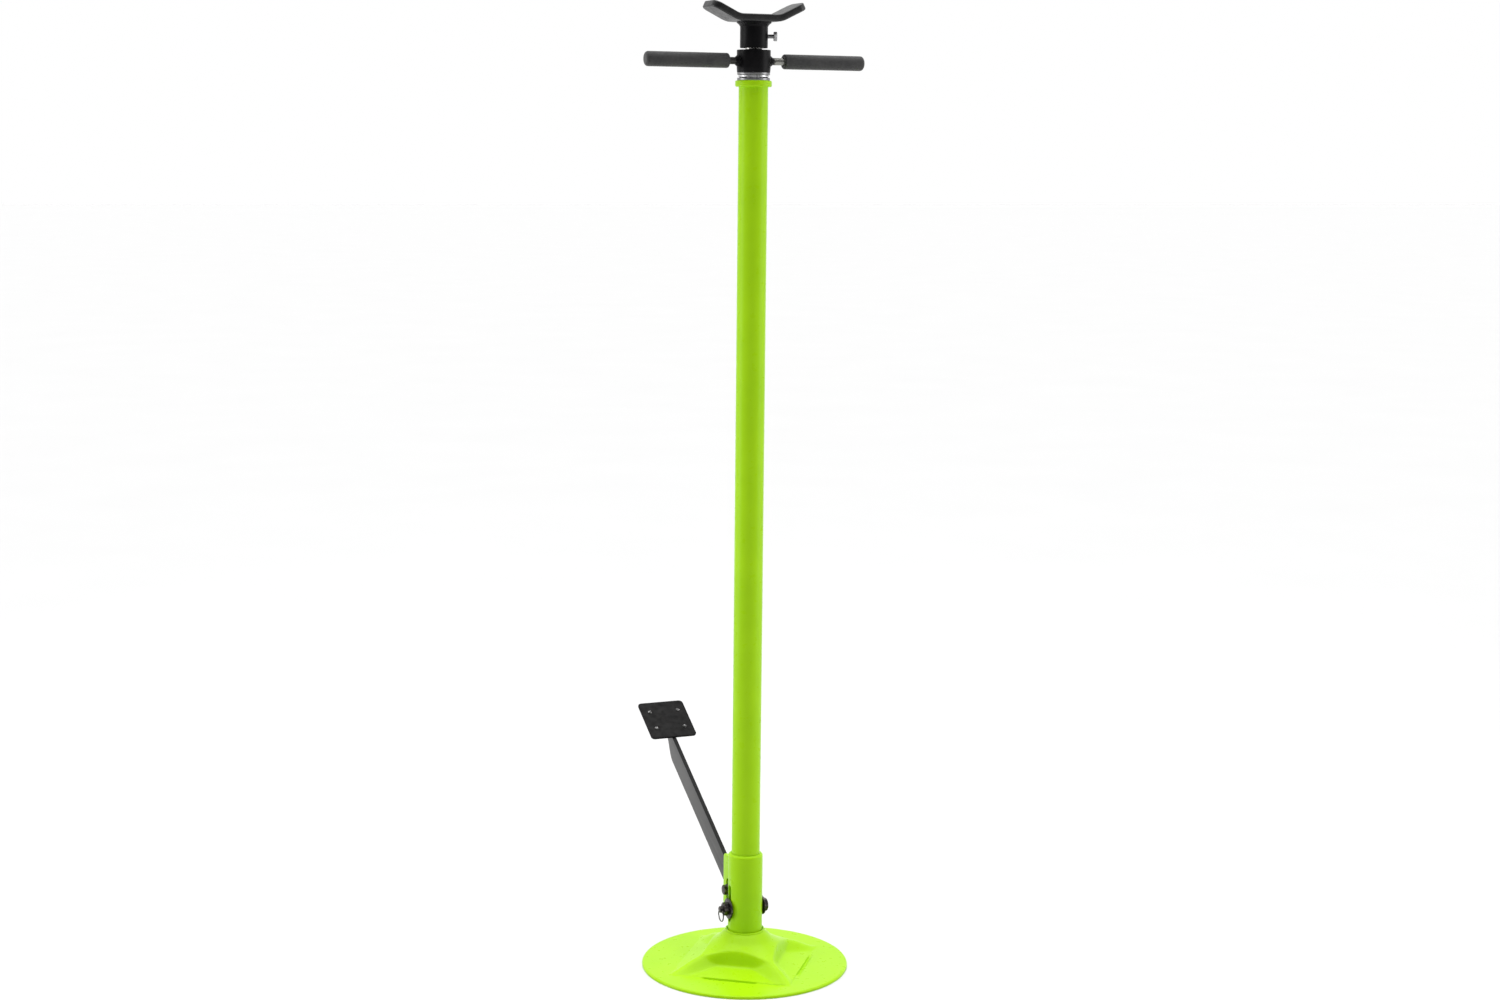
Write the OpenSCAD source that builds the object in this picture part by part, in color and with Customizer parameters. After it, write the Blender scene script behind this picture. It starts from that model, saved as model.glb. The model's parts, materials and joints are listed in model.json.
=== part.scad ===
// Under-hoist support stand: pressed base, guide sleeve, lifting column, foot lever,
// spin nut on a thrust bearing, lifting screw and cradle saddle.
// Z is up and the origin is on the floor under the column. X runs along the cross bolt
// and the handles, and the foot lever reaches out along -Y.

/* [Base] */
// Base diameter
base_d = 300; // [280:5:330]
// Height of the dome that carries the column
dome_h = 51.5; // [48:0.5:64]
// Sheet thickness of the base
sheet = 3; // [2.5:0.25:4]
// Height of the flat rim's upper face
rim_h = 4.5; // [4:0.25:6]
// Direction of the first ridge
ridge_dir = 8.7; // [0:0.1:45]

/* [Sleeve] */
// Sleeve outside diameter
sleeve_d = 50; // [48:0.5:54]
// Height of the sleeve's top
sleeve_top = 168; // [160:1:180]
// Width of the cross bolt's slots
slot_w = 10.6; // [10.5:0.1:12]

/* [Column] */
// Column tube outside diameter
column_d = 41; // [40:0.5:42]
// Column tube wall
column_wall = 2.8; // [2:0.1:3.2]
// Height of the collar's top face
collar_top = 1274.8; // [1100:0.1:1400]
// Collar outside diameter
collar_d = 51; // [48:0.5:54]

/* [Foot lever] */
// Lift of the column over the pedal's stroke
lift = 30; // [20:1:32]
// Lever angle above the floor at rest
lever_angle = 30; // [26:0.5:32]
// Distance of the fulcrum from the column's axis
fulcrum_u = 40; // [38:0.5:42]
// Height of the fulcrum
fulcrum_z = 101; // [100:0.5:104]
// Lever bar width
arm_w = 33; // [28:1:35]
// Lever bar thickness
arm_t = 6.5; // [5:0.5:8]
// Distance from the fulcrum to the pedal's near edge
pedal_start = 305; // [280:1:330]
// Pedal plate width
pedal_w = 75; // [60:1:90]
// Pedal plate length
pedal_l = 80; // [60:1:100]
// Pedal plate thickness
pedal_t = 3; // [2:0.5:5]

/* [Screw] */
// Screw diameter over the thread
screw_d = 24; // [22:1:24]
// Screw travel
travel = 648; // [400:1:660]

/* [Handle] */
// Nut hub outside diameter
hub_d = 47; // [44:0.5:50]
// Nut hub height
hub_h = 30.6; // [26:0.1:34]
// Handle rod diameter
rod_d = 10; // [8:0.5:12]
// Grip diameter
grip_d = 20.6; // [18:0.2:24]
// Grip length
grip_l = 122; // [100:1:140]

/* [Saddle] */
// Saddle length along its upper face
saddle_l = 132.5; // [110:1:150]
// Saddle depth
saddle_w = 50; // [40:1:60]
// Saddle plate thickness
saddle_t = 10; // [6:0.5:12]
// Angle that the saddle's wings rise
wing_angle = 26; // [15:1:35]

/* [Hidden] */
$fn = 64;

GREEN = [0.60, 0.85, 0.06];
BLACK = [0.08, 0.08, 0.08];
STEEL = [0.70, 0.70, 0.72];
DARK_STEEL = [0.25, 0.25, 0.26];

run_gap = 0.06;      // radial clearance of a running fit
free_gap = 0.3;      // space between faces that pass each other
touch_gap = 0.02;    // space between curved faces fixed to each other
bore_gap = 0.2;      // radial space between a bolt and the hole it passes through
over = 1;            // extra length of a cutting shape beyond the face it leaves
edge = 0.6;          // small chamfer

// The base's relief: heights against distance, along a ridge and across a pocket
drain_r = 12;
neck_in = sleeve_d / 2 + 1.2;
neck_out = neck_in + 2.4;
neck_h = 2.5;
neck_round = 0.6;
ridge_profile = [[0, dome_h], [29, dome_h], [32, dome_h - 2.2], [35, 45.8], [40, 40.4],
                 [46, 36.8], [52, 33.5], [60, 29.5], [90, 19], [112, 8.5],
                 [121, rim_h + 0.8], [127, rim_h], [200, rim_h]];
pocket_profile = [[42.5, 60], [55.5, 14.5], [60, 12.2], [87, rim_h + 0.8], [90, rim_h],
                  [200, rim_h]];
pocket_round = 4;
ridge_width = [[0, 30], [30, 27], [60, 24], [90, 20], [127, 12]];
base_rings = [drain_r, 22, 28, 31, 35, 40, 44, 47, 50, 53, 56, 59, 63, 68, 74, 80, 86, 90, 96,
              104, 112, 121, 127, base_d / 2 - 2.5];
base_sides = 48;
lip_w = 4;

sleeve_bore = column_d / 2 + 0.08;
sleeve_edge = 4;
slot_low = 66;
window_w = arm_t + 4;
window_low = 68;
window_high = 131;

ear_in = 6.5;
ear_out = 12;
ear_reach = 56;
ear_low = 74;
ear_high = 152.5;
ear_root = 15;
ear_round = 5;
ear_slot_w = 8.5;
ear_slot_h = 34;
weld_r = 2.5;
ear_weld_u = 22.5;

fulcrum_bolt_d = 8;
fulcrum_af = 13;
fulcrum_head_h = 5.3;
fulcrum_nut_h = 6.5;
fulcrum_end = 22.5;
washer_t = 1.6;
bush_r = 7;
pivot_washer_r = 8;

bolt_z = fulcrum_z - lift / 2;
bolt_d = 10;
bolt_af = 17;
bolt_head_h = 6.4;
bolt_end = 40.5;
bolt_washer_t = 2;
left_washer_r = 15;
right_washer_r = 14;
washer_at = sleeve_d / 2 + free_gap;
nut_at = washer_at + bolt_washer_t + 0.1;
nut_h = 7.5;
ring_x = 37.7;
ring_hole_r = 1.75;
bolt_chamfer = 0.9;
ring_r = 9.2;
ring_wire_r = 0.65;
ring_rise = 0.7;     // the ring's wire stands this far above the hole's axis inside the bolt

// The lever in its own directions: s along the bar from the fulcrum, h across it
nose_reach = sqrt(pow(fulcrum_u, 2) + pow(lift / 2, 2));
nose_angle = 180 + atan2(lift / 2, fulcrum_u);
nose_r = 12;
nose_slot_r = bolt_d / 2 + 0.6;
taper_start = pedal_start - 12;
taper_end = pedal_start + 26;
tip_s = pedal_start + 66;
tip_depth = 9.5;
stud_x = 23.5;
stud_s = 18.5;
stud_r = 3.4;
stud_h = 1.2;

collar_lap = 4.6;
column_low = dome_h + free_gap;
column_top = collar_top - collar_lap;
column_bore = column_d / 2 - column_wall;
collar_h = 8.8;
collar_round = 2;
guide_h = 32;
column_window_high = 118;

bearing_in = 13;
bearing_out = 22.8;
race_h = 3.7;
race_space = 3.7;
ball_r = 2.75;
ball_track = 17.5;
ball_count = 14;
ball_z = collar_top + race_h + race_space / 2;
hub_low = collar_top + 2 * race_h + race_space;
hub_high = hub_low + hub_h;

rod_z = hub_low + 15.4;
rod_start = 15.5;
rod_end = 150;
rod_weld = [[21, 8.2], [23.4, 8.2], [26, 6.8], [28, 5.9]];
grip_left_start = 38;
grip_right_start = 44.2;
grip_round = 4;

socket_low = hub_high + 2.5;
socket_high = socket_low + 35.6;
socket_d = 38.6;
screw_low = socket_high - 780;
screw_top = socket_high - 0.5;
stop_h = 10;
stop_top = column_top - guide_h - travel - 0.5;
stop_r = 16.5;
pin_r = 2;
screw_chamfer = 1.5;

set_z = socket_low + 16;
set_dir = 160;
set_d = 6;
set_af = 12.5;
set_tip = 10.9;
set_head_x = 27;
set_head_h = 5;
groove_r = 10.4;
groove_h = 7;

saddle_top = socket_high + saddle_t;
bend_start = 24;
bend_r = 25;
bend_steps = 8;
saddle_round = 10;
saddle_room = 60;

// ---- shared shapes ----

// A turned ring or disc with chamfered outer edges
module ring(low, high, r_out, r_in = 0, cut = edge)
    rotate_extrude()
        polygon([[r_in, low], [r_out - cut, low], [r_out, low + cut], [r_out, high - cut],
                 [r_out - cut, high], [r_in, high]]);

// Lays a turned shape drawn on Z along X at height z
module along_x(z) translate([0, 0, z]) rotate([0, 90, 0]) children();

// A round bar along X from x1 to x2
module bar_x(x1, x2, r) translate([x1, 0, 0]) rotate([0, 90, 0]) cylinder(h = x2 - x1, r = r);

// A hexagon along X, with two corners up
module hex_x(x1, x2, af)
    translate([x1, 0, 0]) rotate([0, 90, 0]) cylinder(h = x2 - x1, d = af / cos(30), $fn = 6);

// Extrudes an outline drawn in (distance out, height) across X, from x1 to x2
module across(x1, x2)
    translate([x1, 0, 0]) rotate([90, 0, -90]) translate([0, 0, x1 - x2])
        linear_extrude(x2 - x1) children();

// A slot outline with round ends between two points
module slot_outline(p, q, r) {
    d = q - p;
    translate(p) circle(r);
    translate(q) circle(r);
    translate(p) rotate(atan2(d[1], d[0])) translate([0, -r]) square([norm(d), 2 * r]);
}

// The same slot as one loop of points, for a slot that lies at an angle
function slot_loop(p, q, r) =
    let (d = q - p, lean = atan2(d[1], d[0]))
    [for (a = [90 : 15 : 270]) p + r * [cos(lean + a), sin(lean + a)],
     for (a = [-90 : 15 : 90]) q + r * [cos(lean + a), sin(lean + a)]];

// ---- base ----

function smooth(t) = let (c = max(0, min(1, t))) c * c * (3 - 2 * c);

// Angle from the nearest ridge, 0 to 45
function off_ridge(a) = let (q = ((a - ridge_dir) % 90 + 90) % 90) min(q, 90 - q);

// The lower of two heights, with the corner where they cross rounded off
function lower_of(a, b) = (a + b - sqrt(pow(a - b, 2) + pow(pocket_round, 2))) / 2;

// Height of the base's upper face
function relief(r, a) =
    let (g = off_ridge(a),
         ridge = lookup(r, ridge_profile),
         pocket = lower_of(ridge, lookup(r * cos(45 - g), pocket_profile)),
         side = 1 - smooth(r * sin(g) / lookup(r, ridge_width)))
    r < neck_out ? dome_h : max(rim_h, pocket + (ridge - pocket) * side);

function slope(r, a) = (relief(r + 1, a) - relief(r - 1, a)) / 2;

function upper_point(r, a) = [r * cos(a), r * sin(a), relief(r, a)];

function lower_point(r, a) =
    let (m = slope(r, a), k = sheet / sqrt(1 + m * m), q = max(drain_r, r + m * k))
    [q * cos(a), q * sin(a), relief(r, a) - k];

module base_shell() {
    n = base_sides;
    rings = len(base_rings);
    upper = [for (r = base_rings) for (i = [0 : n - 1]) upper_point(r, 360 * i / n)];
    lower = [for (r = base_rings) for (i = [0 : n - 1]) lower_point(r, 360 * i / n)];
    under = rings * n;
    function at(k, i) = k * n + i % n;
    faces = [
        for (k = [0 : rings - 2]) for (i = [0 : n - 1]) each
            [[at(k, i), at(k, i + 1), at(k + 1, i)],
             [at(k, i + 1), at(k + 1, i + 1), at(k + 1, i)],
             [under + at(k, i), under + at(k + 1, i), under + at(k, i + 1)],
             [under + at(k, i + 1), under + at(k + 1, i), under + at(k + 1, i + 1)]],
        for (i = [0 : n - 1]) each
            [[at(0, i), under + at(0, i), at(0, i + 1)],
             [at(0, i + 1), under + at(0, i), under + at(0, i + 1)],
             [at(rings - 1, i), at(rings - 1, i + 1), under + at(rings - 1, i)],
             [at(rings - 1, i + 1), under + at(rings - 1, i + 1), under + at(rings - 1, i)]]
    ];
    polyhedron(concat(upper, lower), faces);
}

module base_plate() color(GREEN) {
    base_shell();
    rotate_extrude()
        polygon([[base_d / 2 - lip_w, 0], [base_d / 2 - 0.4, 0], [base_d / 2, 0.4],
                 [base_d / 2, rim_h - 2], [base_d / 2 - 1, rim_h - 0.5],
                 [base_d / 2 - 2, rim_h + 0.1], [base_d / 2 - lip_w, rim_h + 0.1]]);
    rotate_extrude()
        polygon([[neck_in, dome_h - sheet / 2], [neck_out, dome_h - sheet / 2],
                 [neck_out, dome_h + neck_h - neck_round],
                 [neck_out - neck_round, dome_h + neck_h], [neck_in, dome_h + neck_h]]);
}

// ---- sleeve and fulcrum bracket ----

module sleeve() color(GREEN) difference() {
    rotate_extrude()
        polygon([[sleeve_bore, dome_h], [sleeve_d / 2, dome_h],
                 [sleeve_d / 2, sleeve_top - sleeve_edge],
                 for (a = [15 : 15 : 75]) [sleeve_d / 2 - sleeve_edge * (1 - cos(a)),
                                           sleeve_top - sleeve_edge * (1 - sin(a))],
                 [sleeve_d / 2 - sleeve_edge, sleeve_top], [sleeve_bore, sleeve_top]]);
    bolt_slot(sleeve_d);
    lever_window(window_low, window_high, sleeve_d);
}

// Upright slot for the cross bolt, through both walls
module bolt_slot(reach)
    across(-reach, reach)
        slot_outline([0, slot_low + slot_w / 2], [0, bolt_z + lift + 0.1], slot_w / 2);

// Window for the lever, through the wall towards the pedal only
module lever_window(low, high, reach) {
    translate([-window_w / 2, -reach, low]) cube([window_w, reach, high - low]);
    translate([0, 0, high]) rotate([90, 0, 0]) cylinder(h = reach, d = window_w);
}

module ear_outline() difference() {
    union() {
        translate([ear_root, ear_low])
            square([ear_reach - ear_round - ear_root, ear_high - ear_low]);
        translate([ear_root, ear_low + ear_round])
            square([ear_reach - ear_root, ear_high - ear_low - 2 * ear_round]);
        for (z = [ear_low + ear_round, ear_high - ear_round])
            translate([ear_reach - ear_round, z]) circle(ear_round);
    }
    slot_outline([fulcrum_u, fulcrum_z - (ear_slot_h - ear_slot_w) / 2],
                 [fulcrum_u, fulcrum_z + (ear_slot_h - ear_slot_w) / 2], ear_slot_w / 2);
}

module ear(side) color(GREEN) difference() {
    across(side > 0 ? ear_in : -ear_out, side > 0 ? ear_out : -ear_in) ear_outline();
    cylinder(h = sleeve_top, d = sleeve_d + 2 * touch_gap);
}
module ear_left() ear(1);
module ear_right() ear(-1);

module ear_welds() color(GREEN)
    for (side = [-1, 1]) difference() {
        translate([side * ear_out, -ear_weld_u, ear_low + over])
            cylinder(h = ear_high - ear_low - 2 * over, r = weld_r);
        cylinder(h = sleeve_top, d = sleeve_d + 2 * touch_gap);
        translate([side > 0 ? 0 : -ear_out - touch_gap, -ear_reach, 0])
            cube([ear_out + touch_gap, ear_reach, sleeve_top]);
    }

module at_fulcrum() translate([0, -fulcrum_u, fulcrum_z]) children();

module fulcrum_bolt() color(DARK_STEEL) at_fulcrum() {
    bar_x(-fulcrum_end, ear_out + washer_t + 1, fulcrum_bolt_d / 2);
    hex_x(ear_out + washer_t, ear_out + washer_t + fulcrum_head_h, fulcrum_af);
}

// A flat washer on X, from x1, with its bore
module washer(x1, t, r_out, r_in) difference() {
    bar_x(x1, x1 + t, r_out);
    bar_x(x1 - over, x1 + t + over, r_in);
}

module fulcrum_washers() color(DARK_STEEL) at_fulcrum()
    for (x = [-ear_out - washer_t, ear_out])
        washer(x, washer_t, pivot_washer_r, fulcrum_bolt_d / 2 + bore_gap);

module fulcrum_nut() color(DARK_STEEL) at_fulcrum() difference() {
    hex_x(-ear_out - washer_t - fulcrum_nut_h, -ear_out - washer_t, fulcrum_af);
    bar_x(-fulcrum_end - 1, -ear_out, fulcrum_bolt_d / 2 + touch_gap);
}

// ---- foot lever ----

function bar_point(s, h) =
    [fulcrum_u + s * cos(lever_angle) - h * sin(lever_angle),
     fulcrum_z + s * sin(lever_angle) + h * cos(lever_angle)];

function nose_point(d) = [fulcrum_u, fulcrum_z] + d * [cos(nose_angle), sin(nose_angle)];

// Places a shape drawn with X across, Y along the bar and Z square to it
module on_bar(s, h) {
    p = bar_point(s, h);
    translate([0, -p[0], p[1]]) rotate([-lever_angle, 0, 0]) children();
}

module lever_arm() color(BLACK) across(-arm_t / 2, arm_t / 2) difference() {
    half = arm_w / 2;
    nose = nose_point((nose_reach + fulcrum_u) / 2);
    union() {
        polygon([bar_point(tip_s, half), bar_point(-6, half), nose + [0, nose_r - 1.5],
                 nose + [0, 1.5 - nose_r], bar_point(8, -half), bar_point(taper_start, -half),
                 bar_point(taper_end, half - tip_depth), bar_point(tip_s, half - tip_depth)]);
        translate(nose) circle(nose_r);
    }
    translate([fulcrum_u, fulcrum_z]) circle(bush_r + touch_gap);
    polygon(slot_loop(nose_point(nose_reach), nose_point(fulcrum_u), nose_slot_r));
}

module fulcrum_bush() color(STEEL) at_fulcrum()
    washer(free_gap - ear_in, 2 * (ear_in - free_gap), bush_r, fulcrum_bolt_d / 2 + run_gap);

module pedal_plate() color(BLACK) on_bar(pedal_start, arm_w / 2) {
    round_r = 6;
    translate([-pedal_w / 2 + round_r, -pedal_l, 0])
        cube([pedal_w - 2 * round_r, pedal_l, pedal_t]);
    translate([-pedal_w / 2, round_r - pedal_l, 0])
        cube([pedal_w, pedal_l - 2 * round_r, pedal_t]);
    for (x = [-1, 1], y = [-round_r, round_r - pedal_l])
        translate([x * (pedal_w / 2 - round_r), y, 0]) cylinder(h = pedal_t, r = round_r);
}

module pedal_studs() color(STEEL)
    on_bar(pedal_start + pedal_l / 2, arm_w / 2 + pedal_t)
        for (x = [-stud_x, stud_x], y = [-stud_s, stud_s])
            translate([x, y, 0]) cylinder(h = stud_h, r1 = stud_r, r2 = stud_r - 1);

module pedal_welds() color(BLACK)
    for (side = [-1, 1])
        on_bar(pedal_start + 2, arm_w / 2)
            translate([side * arm_t / 2, 0, 0]) rotate([90, 0, 0])
                linear_extrude(tip_s - pedal_start - 4)
                    polygon([[0, 0], [side * 3.5, 0], [0, -3.5]]);

// ---- column ----

module column_tube() color(GREEN) difference() {
    rotate_extrude()
        polygon([[column_bore, column_low], [column_d / 2, column_low],
                 [column_d / 2, column_top], [column_bore, column_top]]);
    bar_at_bolt(bolt_d / 2 + 0.1);
    lever_window(column_low - 10, column_window_high, column_d);
}

module bar_at_bolt(r) translate([0, 0, bolt_z]) bar_x(-sleeve_d, sleeve_d, r);

module column_collar() color(GREEN) rotate_extrude() {
    r = collar_d / 2;
    cut = collar_round;
    low = collar_top - collar_h;
    polygon([[column_d / 2 + touch_gap, low], [r - cut, low], [r - edge, low + edge],
             [r, low + cut], [r, collar_top - cut], [r - edge, collar_top - edge],
             [r - cut, collar_top], [bearing_in, collar_top], [bearing_in, column_top],
             [column_d / 2 + touch_gap, column_top]]);
}

module screw_guide() color(STEEL)
    ring(column_top - guide_h, column_top, column_bore - touch_gap, screw_d / 2 + run_gap);

module race(low) difference() {
    ring(low, low + race_h, bearing_out, bearing_in, 0.5);
    rotate_extrude() translate([ball_track, ball_z]) circle(ball_r + free_gap);
}
module lower_race() color(STEEL) race(collar_top);
module upper_race() color(STEEL) race(hub_low - race_h);

module cross_bolt() color(DARK_STEEL) difference() {
    translate([0, 0, bolt_z]) {
        bar_x(-nut_at - 1, bolt_end - bolt_chamfer, bolt_d / 2);
        translate([bolt_end - bolt_chamfer, 0, 0]) rotate([0, 90, 0])
            cylinder(h = bolt_chamfer, r1 = bolt_d / 2, r2 = bolt_d / 2 - bolt_chamfer);
        hex_x(-nut_at - bolt_head_h, -nut_at, bolt_af);
    }
    translate([ring_x, 0, bolt_z]) rotate([90, 0, 0])
        cylinder(h = 2 * bolt_d, r = ring_hole_r, center = true);
}

module cross_washers() color(DARK_STEEL) translate([0, 0, bolt_z]) {
    washer(washer_at, bolt_washer_t, left_washer_r, bolt_d / 2 + bore_gap);
    washer(-washer_at - bolt_washer_t, bolt_washer_t, right_washer_r, bolt_d / 2 + bore_gap);
}

module cross_nut() color(DARK_STEEL) translate([0, 0, bolt_z]) difference() {
    hex_x(nut_at, nut_at + nut_h, bolt_af);
    bar_x(nut_at - 1, nut_at + nut_h + 1, bolt_d / 2 + touch_gap);
}

module split_ring() color(STEEL)
    translate([ring_x, 0, bolt_z + ring_rise - ring_r]) rotate([0, 90, 0])
        rotate_extrude() translate([ring_r, 0]) circle(ring_wire_r);

// ---- thrust bearing ----

module ball_cage() color(STEEL) difference() {
    ring(ball_z - 0.7, ball_z + 0.7, ball_track + 3.3, ball_track - 3.3, 0.2);
    each_ball() cylinder(h = 4, r = ball_r + 0.05, center = true);
}

module each_ball()
    for (i = [0 : ball_count - 1])
        rotate([0, 0, 360 * i / ball_count]) translate([ball_track, 0, ball_z]) children();

module bearing_balls() color(STEEL) each_ball() sphere(ball_r, $fn = 32);

// ---- spin nut and handles ----

module handle_nut() color(BLACK) difference() {
    ring(hub_low, hub_high, hub_d / 2, screw_d / 2 + run_gap, 1);
    for (side = [-1, 1])
        translate([0, 0, rod_z])
            bar_x(side > 0 ? rod_start : -hub_d, side > 0 ? hub_d : -rod_start,
                  rod_d / 2 + touch_gap);
}

module handle_rod(x1, x2) color(STEEL) translate([0, 0, rod_z]) bar_x(x1, x2, rod_d / 2);
module handle_rod_left() handle_rod(rod_start, rod_end);
module handle_rod_right() handle_rod(-rod_end - 5, -rod_start);

// Welds that cone from the hub onto each rod: rod_weld gives distance out and radius
module rod_welds() color(BLACK) difference() {
    bore = rod_d / 2 + touch_gap;
    for (side = [-1, 1])
        along_x(rod_z) mirror([0, 0, side > 0 ? 0 : 1])
            rotate_extrude()
                polygon([[bore, rod_weld[0][0]], for (p = rod_weld) [p[1], p[0]],
                         [bore, rod_weld[3][0]]]);
    translate([0, 0, hub_low]) cylinder(h = hub_h, r = hub_d / 2 + touch_gap);
}

function corner_arc(x, y, r, from) =
    [for (a = [0 : 15 : 90]) [x + r * cos(from + a), y + r * sin(from + a)]];

module grip(start, depth) {
    r = grip_d / 2;
    rotate_extrude() polygon(concat(
        [[rod_d / 2 + touch_gap, start]],
        corner_arc(r - grip_round / 2, start + grip_round / 2, grip_round / 2, -90),
        corner_arc(r - grip_round, start + grip_l - grip_round, grip_round, 0),
        [[0, start + grip_l], [0, depth], [rod_d / 2 + touch_gap, depth]]));
}
module grip_left() color(BLACK) along_x(rod_z) grip(grip_left_start, rod_end + 0.5);
module grip_right() color(BLACK)
    along_x(rod_z) mirror([0, 0, 1]) grip(grip_right_start, rod_end + 5.5);

// ---- screw ----

module stop_pin_bar(r)
    translate([0, 0, stop_top - stop_h / 2]) rotate([90, 0, 0])
        cylinder(h = 2 * stop_r - 2, r = r, center = true);

module lift_screw() color(STEEL) difference() {
    ring(screw_low, screw_top, screw_d / 2, 0, screw_chamfer);
    rotate_extrude() translate([groove_r, set_z - groove_h / 2])
        square([screw_d, groove_h]);
    stop_pin_bar(pin_r + touch_gap);
}

module screw_stop() color(DARK_STEEL) difference() {
    ring(stop_top - stop_h, stop_top, stop_r, screw_d / 2 + touch_gap);
    stop_pin_bar(pin_r + touch_gap);
}

module stop_pin() color(STEEL) stop_pin_bar(pin_r);

// ---- saddle ----

// Upper edge of the saddle's profile from the middle out, for a thickness below it
function wing_line(drop) =
    let (r = bend_r + drop, z = saddle_top + bend_r,
         bend = [for (i = [0 : bend_steps]) let (a = wing_angle * i / bend_steps)
                 [bend_start + r * sin(a), z - r * cos(a)]],
         run = (saddle_l / 2 - bend_start - bend_r * sin(wing_angle)) / cos(wing_angle),
         end = bend[bend_steps] + run * [cos(wing_angle), sin(wing_angle)])
    concat(bend, [end]);

function flipped(line) = [for (i = [len(line) - 1 : -1 : 0]) [-line[i][0], line[i][1]]];
function reversed(line) = [for (i = [len(line) - 1 : -1 : 0]) line[i]];

module saddle_plate() color(BLACK) intersection() {
    upper = wing_line(0);
    lower = wing_line(saddle_t);
    translate([0, saddle_w / 2, 0]) rotate([90, 0, 0]) linear_extrude(saddle_w)
        polygon(concat(flipped(upper), upper, reversed(lower), reversed(flipped(lower))));
    saddle_plan();
}

// The saddle's outline seen from above, standing as a tall block
module saddle_plan() {
    half_l = saddle_l / 2 + saddle_t * sin(wing_angle) - saddle_round;
    half_w = saddle_w / 2 - saddle_round;
    low = saddle_top - saddle_room / 2;
    for (x = [-half_l, half_l], y = [-half_w, half_w])
        translate([x, y, low]) cylinder(h = saddle_room, r = saddle_round);
    translate([-half_l, -saddle_w / 2, low]) cube([2 * half_l, saddle_w, saddle_room]);
    translate([-half_l - saddle_round, -half_w, low])
        cube([2 * (half_l + saddle_round), 2 * half_w, saddle_room]);
}

// Turns a shape on X to the set screw's direction and height
module at_set_screw() rotate([0, 0, set_dir]) translate([0, 0, set_z]) children();

module saddle_socket() color(BLACK) difference() {
    ring(socket_low, socket_high, socket_d / 2, screw_d / 2 + 0.08, 0.8);
    at_set_screw() bar_x(0, socket_d, set_d / 2 + touch_gap);
}

module saddle_weld() color(BLACK) rotate_extrude()
    polygon([[socket_d / 2 + touch_gap, socket_high - 6.5], [socket_d / 2 + 1.5, socket_high - 5],
             [socket_d / 2 + 4, socket_high - 2], [socket_d / 2 + 5.2, socket_high],
             [socket_d / 2 + touch_gap, socket_high]]);

module set_screw() color(STEEL) at_set_screw() {
    bar_x(set_tip, set_head_x + 1, set_d / 2);
    hex_x(set_head_x, set_head_x + set_head_h, set_af);
}

base_plate();
sleeve();
ear_left();
ear_right();
ear_welds();
fulcrum_bolt();
fulcrum_washers();
fulcrum_nut();
lever_arm();
fulcrum_bush();
pedal_plate();
pedal_studs();
pedal_welds();
column_tube();
column_collar();
screw_guide();
lower_race();
cross_bolt();
cross_washers();
cross_nut();
split_ring();
ball_cage();
bearing_balls();
upper_race();
handle_nut();
handle_rod_left();
handle_rod_right();
rod_welds();
grip_left();
grip_right();
lift_screw();
screw_stop();
stop_pin();
saddle_plate();
saddle_socket();
saddle_weld();
set_screw();
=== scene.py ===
"""Looks of an under-hoist support stand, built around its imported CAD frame.

Lengths in this script are millimetres and angles are degrees unless a name says otherwise.
Z is up, the column stands on the origin, X runs along the cross bolt, the handles and the
saddle, and the foot lever reaches out along -Y. Each piece takes its place from the box of
the CAD node that it stands for, and rides on that node's body.
"""

import json
from math import asin, atan2, cos, degrees, hypot, pi, radians, sin, tan
from types import SimpleNamespace

import bmesh
import bpy
import numpy as np
from mathutils import Matrix, Vector

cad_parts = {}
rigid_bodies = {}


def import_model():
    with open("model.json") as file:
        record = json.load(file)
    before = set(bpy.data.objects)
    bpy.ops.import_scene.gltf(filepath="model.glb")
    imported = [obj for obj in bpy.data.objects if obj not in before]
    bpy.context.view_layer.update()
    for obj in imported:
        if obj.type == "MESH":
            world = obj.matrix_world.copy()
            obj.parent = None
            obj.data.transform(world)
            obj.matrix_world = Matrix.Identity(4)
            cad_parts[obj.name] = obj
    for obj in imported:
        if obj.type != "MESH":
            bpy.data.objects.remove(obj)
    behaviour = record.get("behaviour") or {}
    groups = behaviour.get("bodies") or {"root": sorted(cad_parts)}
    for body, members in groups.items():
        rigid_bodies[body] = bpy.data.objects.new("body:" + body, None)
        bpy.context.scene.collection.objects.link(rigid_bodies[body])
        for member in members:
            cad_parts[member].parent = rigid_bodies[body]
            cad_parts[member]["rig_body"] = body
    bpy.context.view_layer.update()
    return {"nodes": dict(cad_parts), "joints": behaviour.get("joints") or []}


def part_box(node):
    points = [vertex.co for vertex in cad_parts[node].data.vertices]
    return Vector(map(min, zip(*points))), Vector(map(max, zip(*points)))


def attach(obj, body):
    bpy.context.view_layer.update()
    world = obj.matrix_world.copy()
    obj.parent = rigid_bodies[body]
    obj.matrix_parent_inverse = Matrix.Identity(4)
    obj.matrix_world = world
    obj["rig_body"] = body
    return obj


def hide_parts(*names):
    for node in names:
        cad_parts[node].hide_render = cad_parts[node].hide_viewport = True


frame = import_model()

MM = 0.001
TURN_SIDES = 96
SAME_PLACE = 0.0015     # nearer points become one
CUTTER_EDGE = 0.001     # all but sharp

# Green paint at its deepest and lightest
GREEN_DEEP = (0.315, 0.590, 0.003)
GREEN_LIGHT = (0.345, 0.630, 0.004)

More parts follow.
